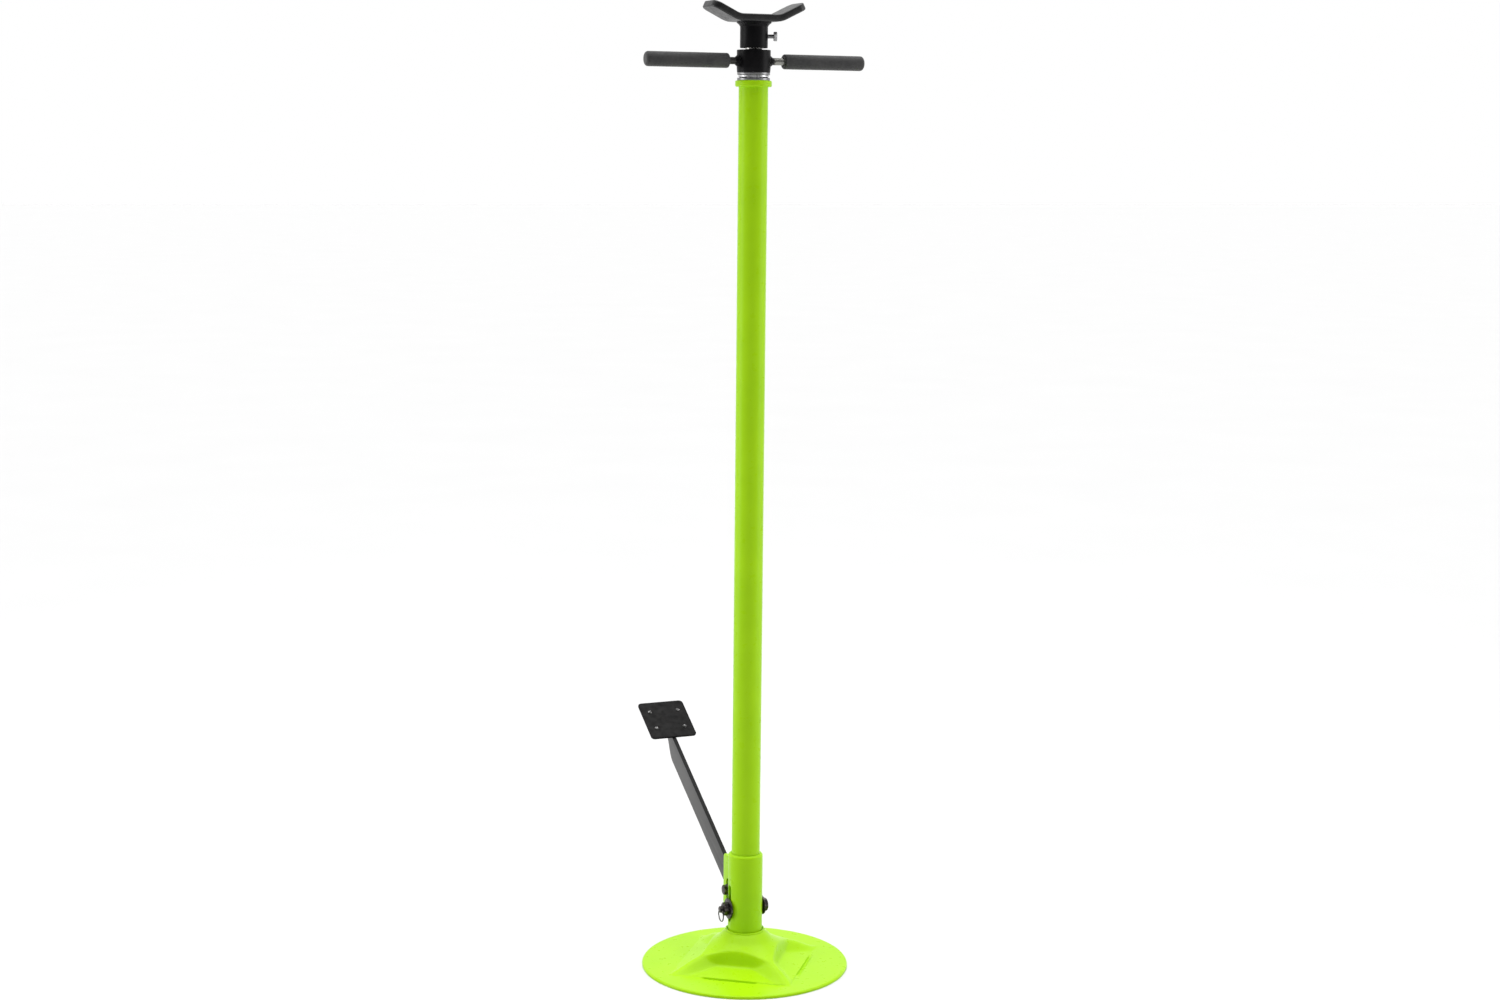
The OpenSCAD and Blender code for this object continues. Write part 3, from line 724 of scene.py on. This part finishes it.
def base_plate():
    """Pressed base: dome with four ridges, four pockets and their creases, and rolled rim."""
    rim = box("base_plate")
    outer, end, dome = rim.x1, rim.x1 - RIM_TURN, RIDGE_LINE[0][1]
    turn = RIDGE_DIR + 360 * np.arange(BASE_SIDES) / BASE_SIDES
    from_side = np.radians((turn - RIDGE_DIR) % 90 - 45)

    def ring_radius(ring):
        """A ring is round by the neck, square round the pockets and round again at the rim."""
        if ring <= SQUARE_RING:
            share = (ring - NECK_RING) / (SQUARE_RING - NECK_RING)
            return ring * (1 + share * (1 / np.cos(from_side) - 1))
        if ring <= FLAT_RING:
            return ring / np.cos(from_side)
        share = (ring - FLAT_RING) / (end - FLAT_RING)
        return FLAT_RING / np.cos(from_side) * (1 - share) + end * share

    def points(radius, height):
        a = np.radians(turn)
        return list(zip(radius * np.cos(a), radius * np.sin(a), height + 0 * a))

    def sheet_points(ring, under):
        r, a = ring_radius(ring), np.radians(turn)
        x, y = r * np.cos(a), r * np.sin(a)
        z = pressed_height(x, y)
        if under:
            slope_x = pressed_height(x + 0.5, y) - pressed_height(x - 0.5, y)
            slope_y = pressed_height(x, y + 0.5) - pressed_height(x, y - 0.5)
            tilt = np.sqrt(1 + slope_x ** 2 + slope_y ** 2)
            return list(zip(x + SHEET * slope_x / tilt, y + SHEET * slope_y / tilt,
                            z - SHEET / tilt))
        across = ring - CREASE_AT
        groove = max(0, 1 + across / CREASE_IN if across < 0 else 1 - across / CREASE_OUT)
        along = ring * np.tan(from_side)
        z = z - CREASE_DEPTH * groove * crease_strength(along, turn)
        return list(zip(x, y, z))

    lip = box("sleeve").x1 + NECK_GAP
    neck = rounded([(DRAIN_R, dome, 0), (lip, dome, 0.4), (lip, rim.z1, 0.6),
                    (lip + NECK_WALL, rim.z1, 0.9), (lip + NECK_WALL, dome, 0.3),
                    (NECK_RING, dome - 0.6, 0)], steps=3)
    edge = rounded([(outer - 4, rim.z0 + 1.5, 0), (outer - 4, 0, 0.4), (outer, 0, 0.5),
                    (outer, RIM_HIGH, 2.6), (end, RIM_HIGH, 0)], steps=5)
    rings = base_rings()
    rows = [points(r, z) for r, z in neck[:-1]]
    rows += [sheet_points(ring, under=False) for ring in rings]
    rows += [points(r, z) for r, z in reversed(edge)]
    rows += [sheet_points(ring, under=True) for ring in reversed(rings)]
    rows += [points(28, dome - SHEET), points(DRAIN_R, dome - SHEET)]
    vertices = [p for row in rows for p in row]
    return piece_from("base_pressing", vertices,
                      grid_faces(len(rows), BASE_SIDES, closed_rows=True), sharp=40)


# ---- sleeve and bracket ----

def across_x(name, outline, reach):
    """A cutter through both walls along X, from an outline in (distance out, height)."""
    return moved(plate(name, [outline], 2 * reach, CUTTER_EDGE, steps=0), UPRIGHT)


def window_cutter(low, high, width, reach):
    """A cutter towards the pedal only, for the lever's window."""
    outline = rounded([(-width / 2, low, 0.5), (width / 2, low, 0.5),
                       (width / 2, high + width / 2, width / 2 - 0.01),
                       (-width / 2, high + width / 2, width / 2 - 0.01)])
    cutter = plate("window_cutter", [outline], reach, CUTTER_EDGE, steps=0)
    standing = Matrix.Rotation(pi / 2, 4, "X")
    return moved(cutter, shift(0, -reach / 2, 0) @ standing)


def sleeve():
    """Sleeve with the cross bolt's slots and the lever's window."""
    b = box("sleeve")
    bore = box("column_tube").x1 + 0.08
    outline = rounded([(bore, b.z0, 0.3), (b.x1, b.z0, 0.3), (b.x1, b.z1, 4),
                       (bore, b.z1, 0.9)], steps=8)
    tube = turned("guide_sleeve", outline, sides=128)
    travel = (0, SLOT_LOW + SLOT_W / 2), (0, box("cross_bolt").z + LIFT)
    slots = across_x("slot_cutter", slot(*travel, SLOT_W / 2), b.x1 + 5)
    cut(tube, slots, window_cutter(WINDOW_LOW, WINDOW_HIGH, WINDOW_W, b.x1 + 5))
    return eased(tube, 0.35)


def ear(node):
    """One cheek of the fulcrum bracket: its slot, and a gap to the sleeve between its welds."""
    b = box(node)
    sleeve_r, (near, far) = box("sleeve").x1, sorted((abs(b.x0), abs(b.x1)))
    root, gap = circle_reach(sleeve_r, far) - 1, circle_reach(sleeve_r, near) + 0.5
    reach = -b.y0
    _, y, z = anchor("pedal_press")
    half = (EAR_SLOT_H - EAR_SLOT_W) / 2
    outline = rounded([
        (root, b.z0, 0), (reach, b.z0, 5), (reach, b.z1, 5), (root, b.z1, 1),
        (root, b.z1 - EAR_WELD_L, 0), (gap, b.z1 - EAR_WELD_L - 1, 0.6),
        (gap, b.z0 + EAR_WELD_L + 1, 0.6), (root, b.z0 + EAR_WELD_L, 0)])
    cheek = plate(f"bracket_{node}",
                  [outline, slot((-y, z - half), (-y, z + half), EAR_SLOT_W / 2)],
                  b.x1 - b.x0, 0.6)
    return moved(cheek, shift(b.x, 0, 0) @ UPRIGHT)


def ear_welds():
    """Fillet welds between the bracket's ears and the sleeve, with their ripples."""
    beads = []
    b = box("ear_left")
    for side in (-1, 1):
        for low, high in ((b.z1 - EAR_WELD_L, b.z1 - 1), (b.z0 + 1, b.z0 + EAR_WELD_L)):
            beads.append(moved(weld_bead(high - low), shift(side * b.x1, -EAR_WELD_OUT, low)))
    return joined("bracket_welds", *beads)


def weld_bead(length, radius=2.2, ripple=1.9):
    """An upright bead of weld whose ripples lean like stacked coins."""
    rows = int(length / 0.3)

    def outline(a):
        points = [(0, 0)]
        for j in range(1, rows):
            z = length * j / rows
            wave = abs(sin(pi * (z / ripple + 0.25 * cos(a))))
            swell = min(1, (4 * j / rows * (rows - j) / rows) * 3) ** 0.5
            points.append((radius * swell * (0.86 + 0.14 * wave), z))
        return points + [(0, length)]

    return turned("bead", outline, sides=24)


# ---- fasteners ----

def washer(name, r_out, r_in, low, high):
    """A washer along Z with rounded edges."""
    return turned(name, rounded([(r_in, low, 0.2), (r_out, low, 0.35), (r_out, high, 0.45),
                                 (r_in, high, 0.2)], steps=3))


def fulcrum_bolt():
    b = box("fulcrum_bolt")
    seat = box("fulcrum_washers").x1
    shank = threaded("shank", b.x0, seat + 1, b.x0 - 2, b.x0 + 14, *M8, sides=32)
    head = hexagon("head", M8_FLATS, seat, b.x1, boss=0.3)
    return moved(joined("pivot_bolt", shank, head), shift(0, b.y, b.z) @ ALONG_X)


def fulcrum_washers():
    b = box("fulcrum_washers")
    inner, radius = box("ear_left").x1, (b.z1 - b.z0) / 2
    pair = [washer("w", radius, M8_HOLE_R, inner, b.x1),
            washer("w", radius, M8_HOLE_R, b.x0, -inner)]
    return moved(joined("pivot_washers", *pair), shift(0, b.y, b.z) @ ALONG_X)


def fulcrum_nut():
    b = box("fulcrum_nut")
    nut = hexagon("pivot_nut", M8_FLATS, b.x0, b.x1, bore=M8[0] + NUT_EASE)
    return moved(nut, shift(0, b.y, b.z) @ ALONG_X)


def cross_bolt():
    """Cross bolt, drilled at its threaded end for the split ring."""
    b = box("cross_bolt")
    seat = box("cross_washers").x0 - 0.1
    ring_x = anchor("ring_swing")[0]
    shank = threaded("shank", seat - 1, b.x1, 22, b.x1 + 2, *M10, sides=48)
    drill = [(0, -12), (RING_HOLE_R, -12), (RING_HOLE_R, 12), (0, 12)]
    hole = moved(turned("hole", drill, sides=32),
                 shift(0, 0, ring_x) @ Matrix.Rotation(pi / 2, 4, "X"))
    cut(shank, hole)
    head = moved(hexagon("head", M10_FLATS, 0, seat - b.x0, boss=0.4),
                 shift(0, 0, seat) @ Matrix.Rotation(pi, 4, "X"))
    return moved(joined("lifting_bolt", shank, head), shift(0, 0, b.z) @ ALONG_X)


def cross_washers():
    b = box("cross_washers")
    inner = box("sleeve").x1 + 0.3
    pair = [washer("w", NEAR_WASHER_R, M10_HOLE_R, inner, b.x1),
            washer("w", FAR_WASHER_R, M10_HOLE_R, b.x0, -inner)]
    return moved(joined("bolt_washers", *pair), shift(0, 0, bolt_z()) @ ALONG_X)


def cross_nut():
    b = box("cross_nut")
    nut = hexagon("lifting_nut", M10_FLATS, b.x0, b.x1, bore=M10[0] + NUT_EASE)
    return moved(nut, shift(0, 0, bolt_z()) @ ALONG_X)


def split_ring():
    """Two turns of spring wire lying side by side, each turn crossing over in a short jog."""
    b = box("split_ring")
    radius = (b.y1 - b.y0) / 2 - 0.65
    steps, start, jog_at, jog_run = 140, radians(200), 0.93, 0.14
    points = []
    for k in range(steps + 1):
        turn = 2 * k / steps
        jog = smooth((turn - jog_at) / jog_run)
        a = 2 * pi * turn + start
        points.append((b.x + (2 * jog - 1) * RING_WIRE_R, radius * cos(a), b.z + radius * sin(a)))
    return wire("key_ring", points, RING_WIRE_R, sides=3)


# ---- foot lever ----

def bar_frame():
    """The lever's own directions: a function from (along, square to it) to (out, height)."""
    _, y, z = anchor("pedal_press")
    c, s = cos(radians(LEVER_ANGLE)), sin(radians(LEVER_ANGLE))
    return lambda along, up: (-y + along * c - up * s, z + along * s + up * c)


def lever_arm():
    """Flat bar with a slotted nose, the bush's bore and a tapered tip."""
    b = box("lever_arm")
    at = bar_frame()
    out, z = at(0, 0)
    half = BAR_W / 2
    reach = hypot(out, LIFT / 2)
    toward = Vector((-out, -LIFT / 2)).normalized()
    nose = Vector((out, z)) + toward * (reach + out) / 2
    outline = rounded([
        (*at(BAR_TIP, half), 1), (*at(-6, half), 8),
        (nose.x - NOSE_HALF, nose.y + NOSE_HALF, NOSE_HALF - 0.2),
        (nose.x - NOSE_HALF, nose.y - NOSE_HALF, NOSE_HALF - 0.2),
        (*at(8, -half), 8), (*at(TAPER_START, -half), 30),
        (*at(TAPER_END, half - TIP_W), 30), (*at(BAR_TIP, half - TIP_W), 1)], steps=10)
    ends = [Vector((out, z)) + toward * d for d in (reach, out)]
    holes = [circle(out, z, BUSH_BORE_R), slot(*ends, NOSE_SLOT_R)]
    arm = plate("foot_lever_bar", [outline, *holes], b.x1 - b.x0, 0.6)
    return moved(arm, UPRIGHT)


def on_bar(along, up):
    """Places a piece with X across the lever, -Y along it and Z square to it."""
    out, z = bar_frame()(along, up)
    return shift(0, -out, z) @ Matrix.Rotation(-radians(LEVER_ANGLE), 4, "X")


def pedal_plate():
    """Tread with rounded corners, on the lever's upper edge."""
    b = box("pedal_plate")
    w = b.x1 - b.x0
    outline = rounded([(-w / 2, 0, 6), (-w / 2, -PEDAL_L, 6), (w / 2, -PEDAL_L, 6),
                       (w / 2, 0, 6)], steps=8)
    tread = plate("pedal_tread", [outline], PEDAL_T, 0.8)
    return moved(tread, on_bar(PEDAL_START, BAR_W / 2 + PEDAL_T / 2))


def pedal_studs():
    """Four low crowned studs, each in the shallow collar that pressing it raised."""
    crown = rounded([(0, 1.2, 0), (2.4, 1.2, 0.9), (3.4, 0.3, 0.5), (3.4, -0.5, 0),
                     (0, -0.5, 0)], steps=4)
    studs = [moved(turned("stud", crown, sides=40), shift(x, y, 0))
             for x in (-STUD_X, STUD_X) for y in (-STUD_Y, STUD_Y)]
    return moved(joined("pedal_grip_studs", *studs),
                 on_bar(PEDAL_START + PEDAL_L / 2, BAR_W / 2 + PEDAL_T))


def pedal_welds():
    """Fillet welds under the pedal, along both faces of the bar."""
    beads = []
    for side in (-1, 1):
        bead = weld_bead(PEDAL_WELD_L, PEDAL_WELD_R, ripple=2.6)
        lay = on_bar(PEDAL_START + 2, BAR_W / 2 - 0.6) @ shift(side * PEDAL_WELD_OUT, 0, 0)
        beads.append(moved(bead, lay @ Matrix.Rotation(pi / 2, 4, "X")))
    return joined("tread_welds", *beads)


# ---- column and bearing ----

def column_tube():
    """Column tube; its extra rows of points keep its faces even."""
    b = box("column_tube")
    r, bore = b.x1, b.x1 - COLUMN_WALL
    rows = [(bore, b.z0), (r, b.z0), (r, 130), (r, 165), (r, 700), (r, b.z1),
            (bore, b.z1), (bore, 130)]
    tube = turned("column", rows)
    bolt = across_x("bolt_hole", circle(0, bolt_z(), COLUMN_HOLE_R), r + 5)
    return cut(tube, bolt, window_cutter(b.z0 - 10, COLUMN_WINDOW_HIGH, WINDOW_W, r + 5))


def column_collar():
    """Cap on the column's top, which carries the bearing."""
    b = box("column_collar")
    r, inner = b.x1, RACE_BORE
    under, seat = box("column_tube").x1 + 0.02, box("column_tube").z1
    return turned("collar", rounded([
        (under, b.z0, 0.2), (r, b.z0, 2.1), (r, b.z1, 2.1), (inner, b.z1, 0.4),
        (inner, seat, 0), (under, seat, 0)], steps=6))


def race(node, up):
    """A bearing washer with rounded rims and the balls' groove on one face."""
    b = box(node)
    face, back = (b.z1, b.z0) if up else (b.z0, b.z1)
    into = -1 if up else 1
    groove = [(BALL_TRACK + GROOVE_HALF * cos(a), face + into * GROOVE_DEEP * sin(a))
              for a in (pi * k / 12 for k in range(13))]
    corners = [(b.x1, face, 0.8), (b.x1, back, 0.6), (RACE_BORE, back, 0.6),
               (RACE_BORE, face, 0.45)]
    return turned(f"{node}_ring", rounded(corners, steps=4) + list(reversed(groove)))


def ball_cage():
    """Pressed cage: a rimmed band with a pocket for each ball."""
    mid = box("ball_cage").z
    band = turned("cage_band", rounded([
        (14.0, mid - 0.7, 0.2), (20.4, mid - 0.7, 0.2), (21.3, mid - 0.5, 0.2),
        (21.3, mid + 1.25, 0.2), (20.4, mid + 1.25, 0.2), (20.4, mid + 0.7, 0),
        (14.0, mid + 0.7, 0.2)], steps=3))
    pockets = [moved(turned("pocket", [(0, -4), (2.8, -4), (2.8, 4), (0, 4)], sides=24),
                     shift(*ball_place(i))) for i in range(BALLS)]
    return cut(band, joined("pockets", *pockets))


def ball_place(i):
    """Middle of one ball on the track."""
    a = 2 * pi * i / BALLS
    return BALL_TRACK * cos(a), BALL_TRACK * sin(a), box("bearing_balls").z


def bearing_balls():
    arc = [(BALL_R * sin(pi * k / 16), BALL_R * cos(pi * k / 16)) for k in range(17)]
    balls = [moved(turned("ball", arc, sides=28), shift(*ball_place(i))) for i in range(BALLS)]
    return joined("balls", *balls)


# ---- spin nut, handles and grips ----

def handle_nut():
    """Hub with a turned taper at its foot."""
    b = box("handle_nut")
    r, bore = b.x1, SCREW_R + 0.06
    return turned("spin_nut_hub", rounded([
        (bore, b.z0, 0.8), (r - 0.4, b.z0, 0.5), (r, b.z0 + 6, 6), (r, b.z1, 0.9),
        (bore, b.z1, 0.8)], steps=5))


def handle_rod(node):
    b = box(node)
    r = (b.z1 - b.z0) / 2
    rod = turned(node + "_bar", rounded([(0, b.x0, 0), (r, b.x0, 0.6), (r, b.x1, 0.6),
                                         (0, b.x1, 0)], steps=3), sides=64)
    return moved(rod, shift(0, 0, rod_z()) @ ALONG_X)


def rod_welds():
    """Welds that cone from the hub onto each rod, rippled all the way round."""
    hub = box("handle_nut").x1

    def outline(a):
        wave = 0.35 * abs(sin(4.5 * a))
        return rounded([(4, hub - 2.5, 0), (8.4, hub - 2.5, 0), (8.0 + wave, hub + 0.6, 0.8),
                        (6.6 + wave, hub + 2.2, 1.2), (5.2, hub + 4.4, 0.5),
                        (4, hub + 4.4, 0)], steps=4)

    beads = [moved(turned("bead", outline, sides=72), shift(0, 0, rod_z()) @ lay)
             for lay in (ALONG_X, AGAINST_X)]
    return joined("handle_welds", *beads)


def grip(node, lay):
    """Foam grip on a rod, closed at its outer end, with softly rounded ends."""
    b = box(node)
    near, far = sorted((abs(b.x0), abs(b.x1)))
    r = (b.z1 - b.z0) / 2
    bore = ROD_R + 0.05
    body = rounded([(bore, near, 0.8), (r, near, 2.6), (r, far, 4.6), (0, far, 0)], steps=8)
    inside = [(0, far - GRIP_CAP), (bore, far - GRIP_CAP)]
    return moved(turned(node + "_foam", body + inside, sides=80), shift(0, 0, rod_z()) @ lay)


# ---- screw ----

def lift_screw():
    """Lifting screw: rolled trapezoidal thread, plain journal and the set screw's groove."""
    b = box("lift_screw")
    socket = box("saddle_socket")
    stop = box("screw_stop")
    groove_z = box("set_screw").z

    def limit(z):
        return SET_GROOVE_R if abs(z - groove_z) < SET_GROOVE_HALF else b.x1

    return threaded("lifting_screw", b.z0, b.z1, stop.z1, socket.z0, b.x1, SCREW_DEPTH,
                    SCREW_PITCH, limit=limit)


# ---- saddle ----

def saddle_plate():
    """Cradle bent from thick plate: flat middle, two raised wings, rounded corners."""
    b = box("saddle_plate")
    top = box("saddle_socket").z1 + SADDLE_T
    rise = radians(WING_ANGLE)
    half = b.x1 - SADDLE_T * sin(rise)
    run = (half - BEND_START - BEND_R * sin(rise)) / cos(rise)
    length = BEND_START + BEND_R * rise + run
    corners = (-length, b.y0), (length, b.y0), (length, b.y1), (-length, b.y1)
    outline = rounded([(*corner, SADDLE_CORNER) for corner in corners], steps=8)
    blank = plate("saddle_cradle", [outline], SADDLE_T, SADDLE_EDGE, steps=5)
    bm = bmesh.new()
    bm.from_mesh(blank.data)
    bend_end = BEND_START + BEND_R * rise
    for x in np.linspace(BEND_START, bend_end, 13):
        for side in (-1, 1):
            everything = bm.verts[:] + bm.edges[:] + bm.faces[:]
            bmesh.ops.bisect_plane(bm, geom=everything, plane_co=(side * x * MM, 0, 0),
                                   plane_no=(1, 0, 0))
    for v in bm.verts:
        s, up = abs(v.co.x) / MM, v.co.z / MM - SADDLE_T / 2
        side = 1 if v.co.x > 0 else -1
        a = min(max((s - BEND_START) / BEND_R, 0), rise)
        past = max(0, s - bend_end)
        flat = min(s, BEND_START)
        x = flat + (BEND_R - up) * sin(a) + past * cos(a)
        z = BEND_R - (BEND_R - up) * cos(a) + past * sin(a)
        v.co = (side * x * MM, v.co.y, (top + z) * MM)
    bm.to_mesh(blank.data)
    bm.free()
    shade(blank.data)
    return blank


def saddle_socket():
    b, bore = box("saddle_socket"), SCREW_R + 0.08
    return turned("socket", rounded([(bore, b.z0, 0.6), (b.x1, b.z0, 0.9), (b.x1, b.z1, 0),
                                     (bore, b.z1, 0)], steps=5))


def saddle_weld():
    """Weld that flares from the socket out under the cradle."""
    b = box("saddle_weld")
    inner = box("saddle_socket").x1 - 1

    def outline(a):
        wave = 0.28 * abs(sin(15 * a))
        return rounded([(inner, b.z0, 0), (inner + 1.3, b.z0 + 0.2, 0.3),
                        (inner + 2.3 + wave, b.z0 + 2.4, 2), (b.x1 - 0.6 + wave, b.z1 - 1.4, 1),
                        (b.x1 - 0.3, b.z1 + 0.4, 0), (inner, b.z1 + 0.4, 0)], steps=4)

    return turned("cradle_weld", outline, sides=180)


def set_screw():
    """Set screw, whose tip stands in the lifting screw's groove."""
    shank = threaded("shank", SET_TIP, SET_SEAT + 1, 12, 40, *M6, sides=32)
    head = hexagon("head", SET_HEAD_AF, SET_SEAT, SET_SEAT + SET_HEAD_H, boss=0.3)
    lay = Matrix.Rotation(radians(SET_DIR), 4, "Z") @ ALONG_X
    return moved(joined("clamp_screw", shank, head), shift(0, 0, box("set_screw").z) @ lay)


# ---- assembly ----

def build():
    """Makes every piece with its material."""
    green = green_powder()
    black, saddle_black = black_powder("black_powder", 0.08), black_powder("saddle_powder", 0.5)
    oxide, zinc = black_oxide(), turned_steel("zinc_plate")
    ground = turned_steel("ground_steel", light=0.24)
    cage_steel = turned_steel("cage_steel", light=0.74)
    stand_in(base_plate(), "base_plate", green)
    stand_in(sleeve(), "sleeve", green)
    stand_in(ear("ear_left"), "ear_left", green)
    stand_in(ear("ear_right"), "ear_right", green)
    stand_in(ear_welds(), "ear_welds", green)
    stand_in(fulcrum_bolt(), "fulcrum_bolt", oxide)
    stand_in(fulcrum_washers(), "fulcrum_washers", oxide)
    stand_in(fulcrum_nut(), "fulcrum_nut", oxide)
    stand_in(lever_arm(), "lever_arm", bar_black())
    stand_in(pedal_plate(), "pedal_plate", pedal_black())
    stand_in(pedal_studs(), "pedal_studs", stud_black())
    stand_in(pedal_welds(), "pedal_welds", black)
    stand_in(column_tube(), "column_tube", green)
    stand_in(column_collar(), "column_collar", green)
    stand_in(race("lower_race", up=True), "lower_race", ground)
    stand_in(race("upper_race", up=False), "upper_race", ground)
    stand_in(cross_bolt(), "cross_bolt", oxide)
    stand_in(cross_washers(), "cross_washers", oxide)
    stand_in(cross_nut(), "cross_nut", oxide)
    stand_in(split_ring(), "split_ring", oxide)
    stand_in(ball_cage(), "ball_cage", cage_steel)
    stand_in(bearing_balls(), "bearing_balls", polished_steel())
    stand_in(handle_nut(), "handle_nut", black)
    rods = rod_finish()
    stand_in(handle_rod("handle_rod_left"), "handle_rod_left", rods)
    stand_in(handle_rod("handle_rod_right"), "handle_rod_right", rods)
    stand_in(rod_welds(), "rod_welds", black)
    foam = foam_grip()
    stand_in(grip("grip_left", ALONG_X), "grip_left", foam)
    stand_in(grip("grip_right", AGAINST_X), "grip_right", foam)
    stand_in(lift_screw(), "lift_screw", rolled_thread("screw_steel", SCREW_R))
    stand_in(saddle_plate(), "saddle_plate", saddle_black)
    stand_in(saddle_socket(), "saddle_socket", black)
    stand_in(saddle_weld(), "saddle_weld", black)
    stand_in(set_screw(), "set_screw", zinc)
    dress("fulcrum_bush", zinc)
    dress("screw_guide", zinc)
    dress("screw_stop", oxide)
    dress("stop_pin", zinc)


# ---- studio ----

def camera():
    """The camera: it looks back along -Y, swung by the pan, tipped down by the pitch."""
    data = bpy.data.cameras.new("camera")
    data.lens, data.sensor_width = LENS, SENSOR
    obj = bpy.data.objects.new("camera", data)
    bpy.context.scene.collection.objects.link(obj)
    turn = Matrix.Rotation(pi - CAMERA_PAN, 4, "Z")
    tip = Matrix.Rotation(pi / 2 - CAMERA_PITCH, 4, "X")
    roll = Matrix.Rotation(CAMERA_ROLL, 4, "Z")
    obj.matrix_world = Matrix.Translation(CAMERA_AT) @ turn @ tip @ roll
    bpy.context.scene.camera = obj


def softbox(name, turn, power):
    """A soft rectangular light, at a turn in degrees from the camera's side, aimed at the stand."""
    a = atan2(CAMERA_AT.y, CAMERA_AT.x) + radians(turn)
    place = BOX_AWAY * cos(a), BOX_AWAY * sin(a), BOX_UP
    data = bpy.data.lights.new(name, "AREA")
    data.shape, (data.size, data.size_y), data.energy = "RECTANGLE", BOX_SIZE, power
    obj = bpy.data.objects.new(name, data)
    bpy.context.scene.collection.objects.link(obj)
    aim = Vector(LIGHTS_AIM) - Vector(place)
    obj.matrix_world = Matrix.Translation(place) @ aim.to_track_quat("-Z", "Y").to_matrix().to_4x4()


def surroundings():
    """White all round to the eye; as light, bright behind the stand and dimmer in front."""
    world = bpy.data.worlds.new("studio")
    world.use_nodes = True
    tree = world.node_tree
    background = tree.nodes["Background"]
    direction = tree.nodes.new("ShaderNodeTexCoord").outputs["Generated"]
    facing = tree.nodes.new("ShaderNodeVectorMath")
    facing.operation = "DOT_PRODUCT"
    tree.links.new(direction, facing.inputs[0])
    facing.inputs[1].default_value = (CAMERA_AT * Vector((1, 1, 0))).normalized()
    light = tree.nodes.new("ShaderNodeMapRange")
    tree.links.new(facing.outputs["Value"], light.inputs["Value"])
    light.inputs["From Min"].default_value = -0.3
    light.inputs["From Max"].default_value = 0.8
    light.inputs["To Min"].default_value = BACK_LIGHT
    light.inputs["To Max"].default_value = FRONT_LIGHT
    seen = tree.nodes.new("ShaderNodeLightPath").outputs["Is Camera Ray"]
    strength = tree.nodes.new("ShaderNodeMath")
    strength.operation = "MAXIMUM"
    tree.links.new(light.outputs["Result"], strength.inputs[0])
    tree.links.new(seen, strength.inputs[1])
    tree.links.new(strength.outputs[0], background.inputs["Strength"])
    background.inputs["Color"].default_value = (1, 1, 1, 1)
    bpy.context.scene.world = world


def studio():
    """Pale floor, white surroundings and soft boxes left, right and above."""
    mesh = bpy.data.meshes.new("floor")
    corners = [(x * FLOOR, y * FLOOR, 0) for x, y in ((-1, -1), (1, -1), (1, 1), (-1, 1))]
    mesh.from_pydata(corners, [], [(0, 1, 2, 3)])
    floor = bpy.data.objects.new("floor", mesh)
    bpy.context.scene.collection.objects.link(floor)
    mesh.materials.append(pale_floor())
    surroundings()
    softbox("left_softbox", -BOX_TURN, LEFT_POWER)
    softbox("right_softbox", BOX_TURN, RIGHT_POWER)
    overhead = bpy.data.lights.new("overhead", "SUN")
    overhead.energy, overhead.angle = OVERHEAD_LIGHT, radians(OVERHEAD_SPREAD)
    bpy.context.scene.collection.objects.link(bpy.data.objects.new("overhead", overhead))
    bpy.context.scene.view_settings.view_transform = "Standard"


camera()
studio()
build()
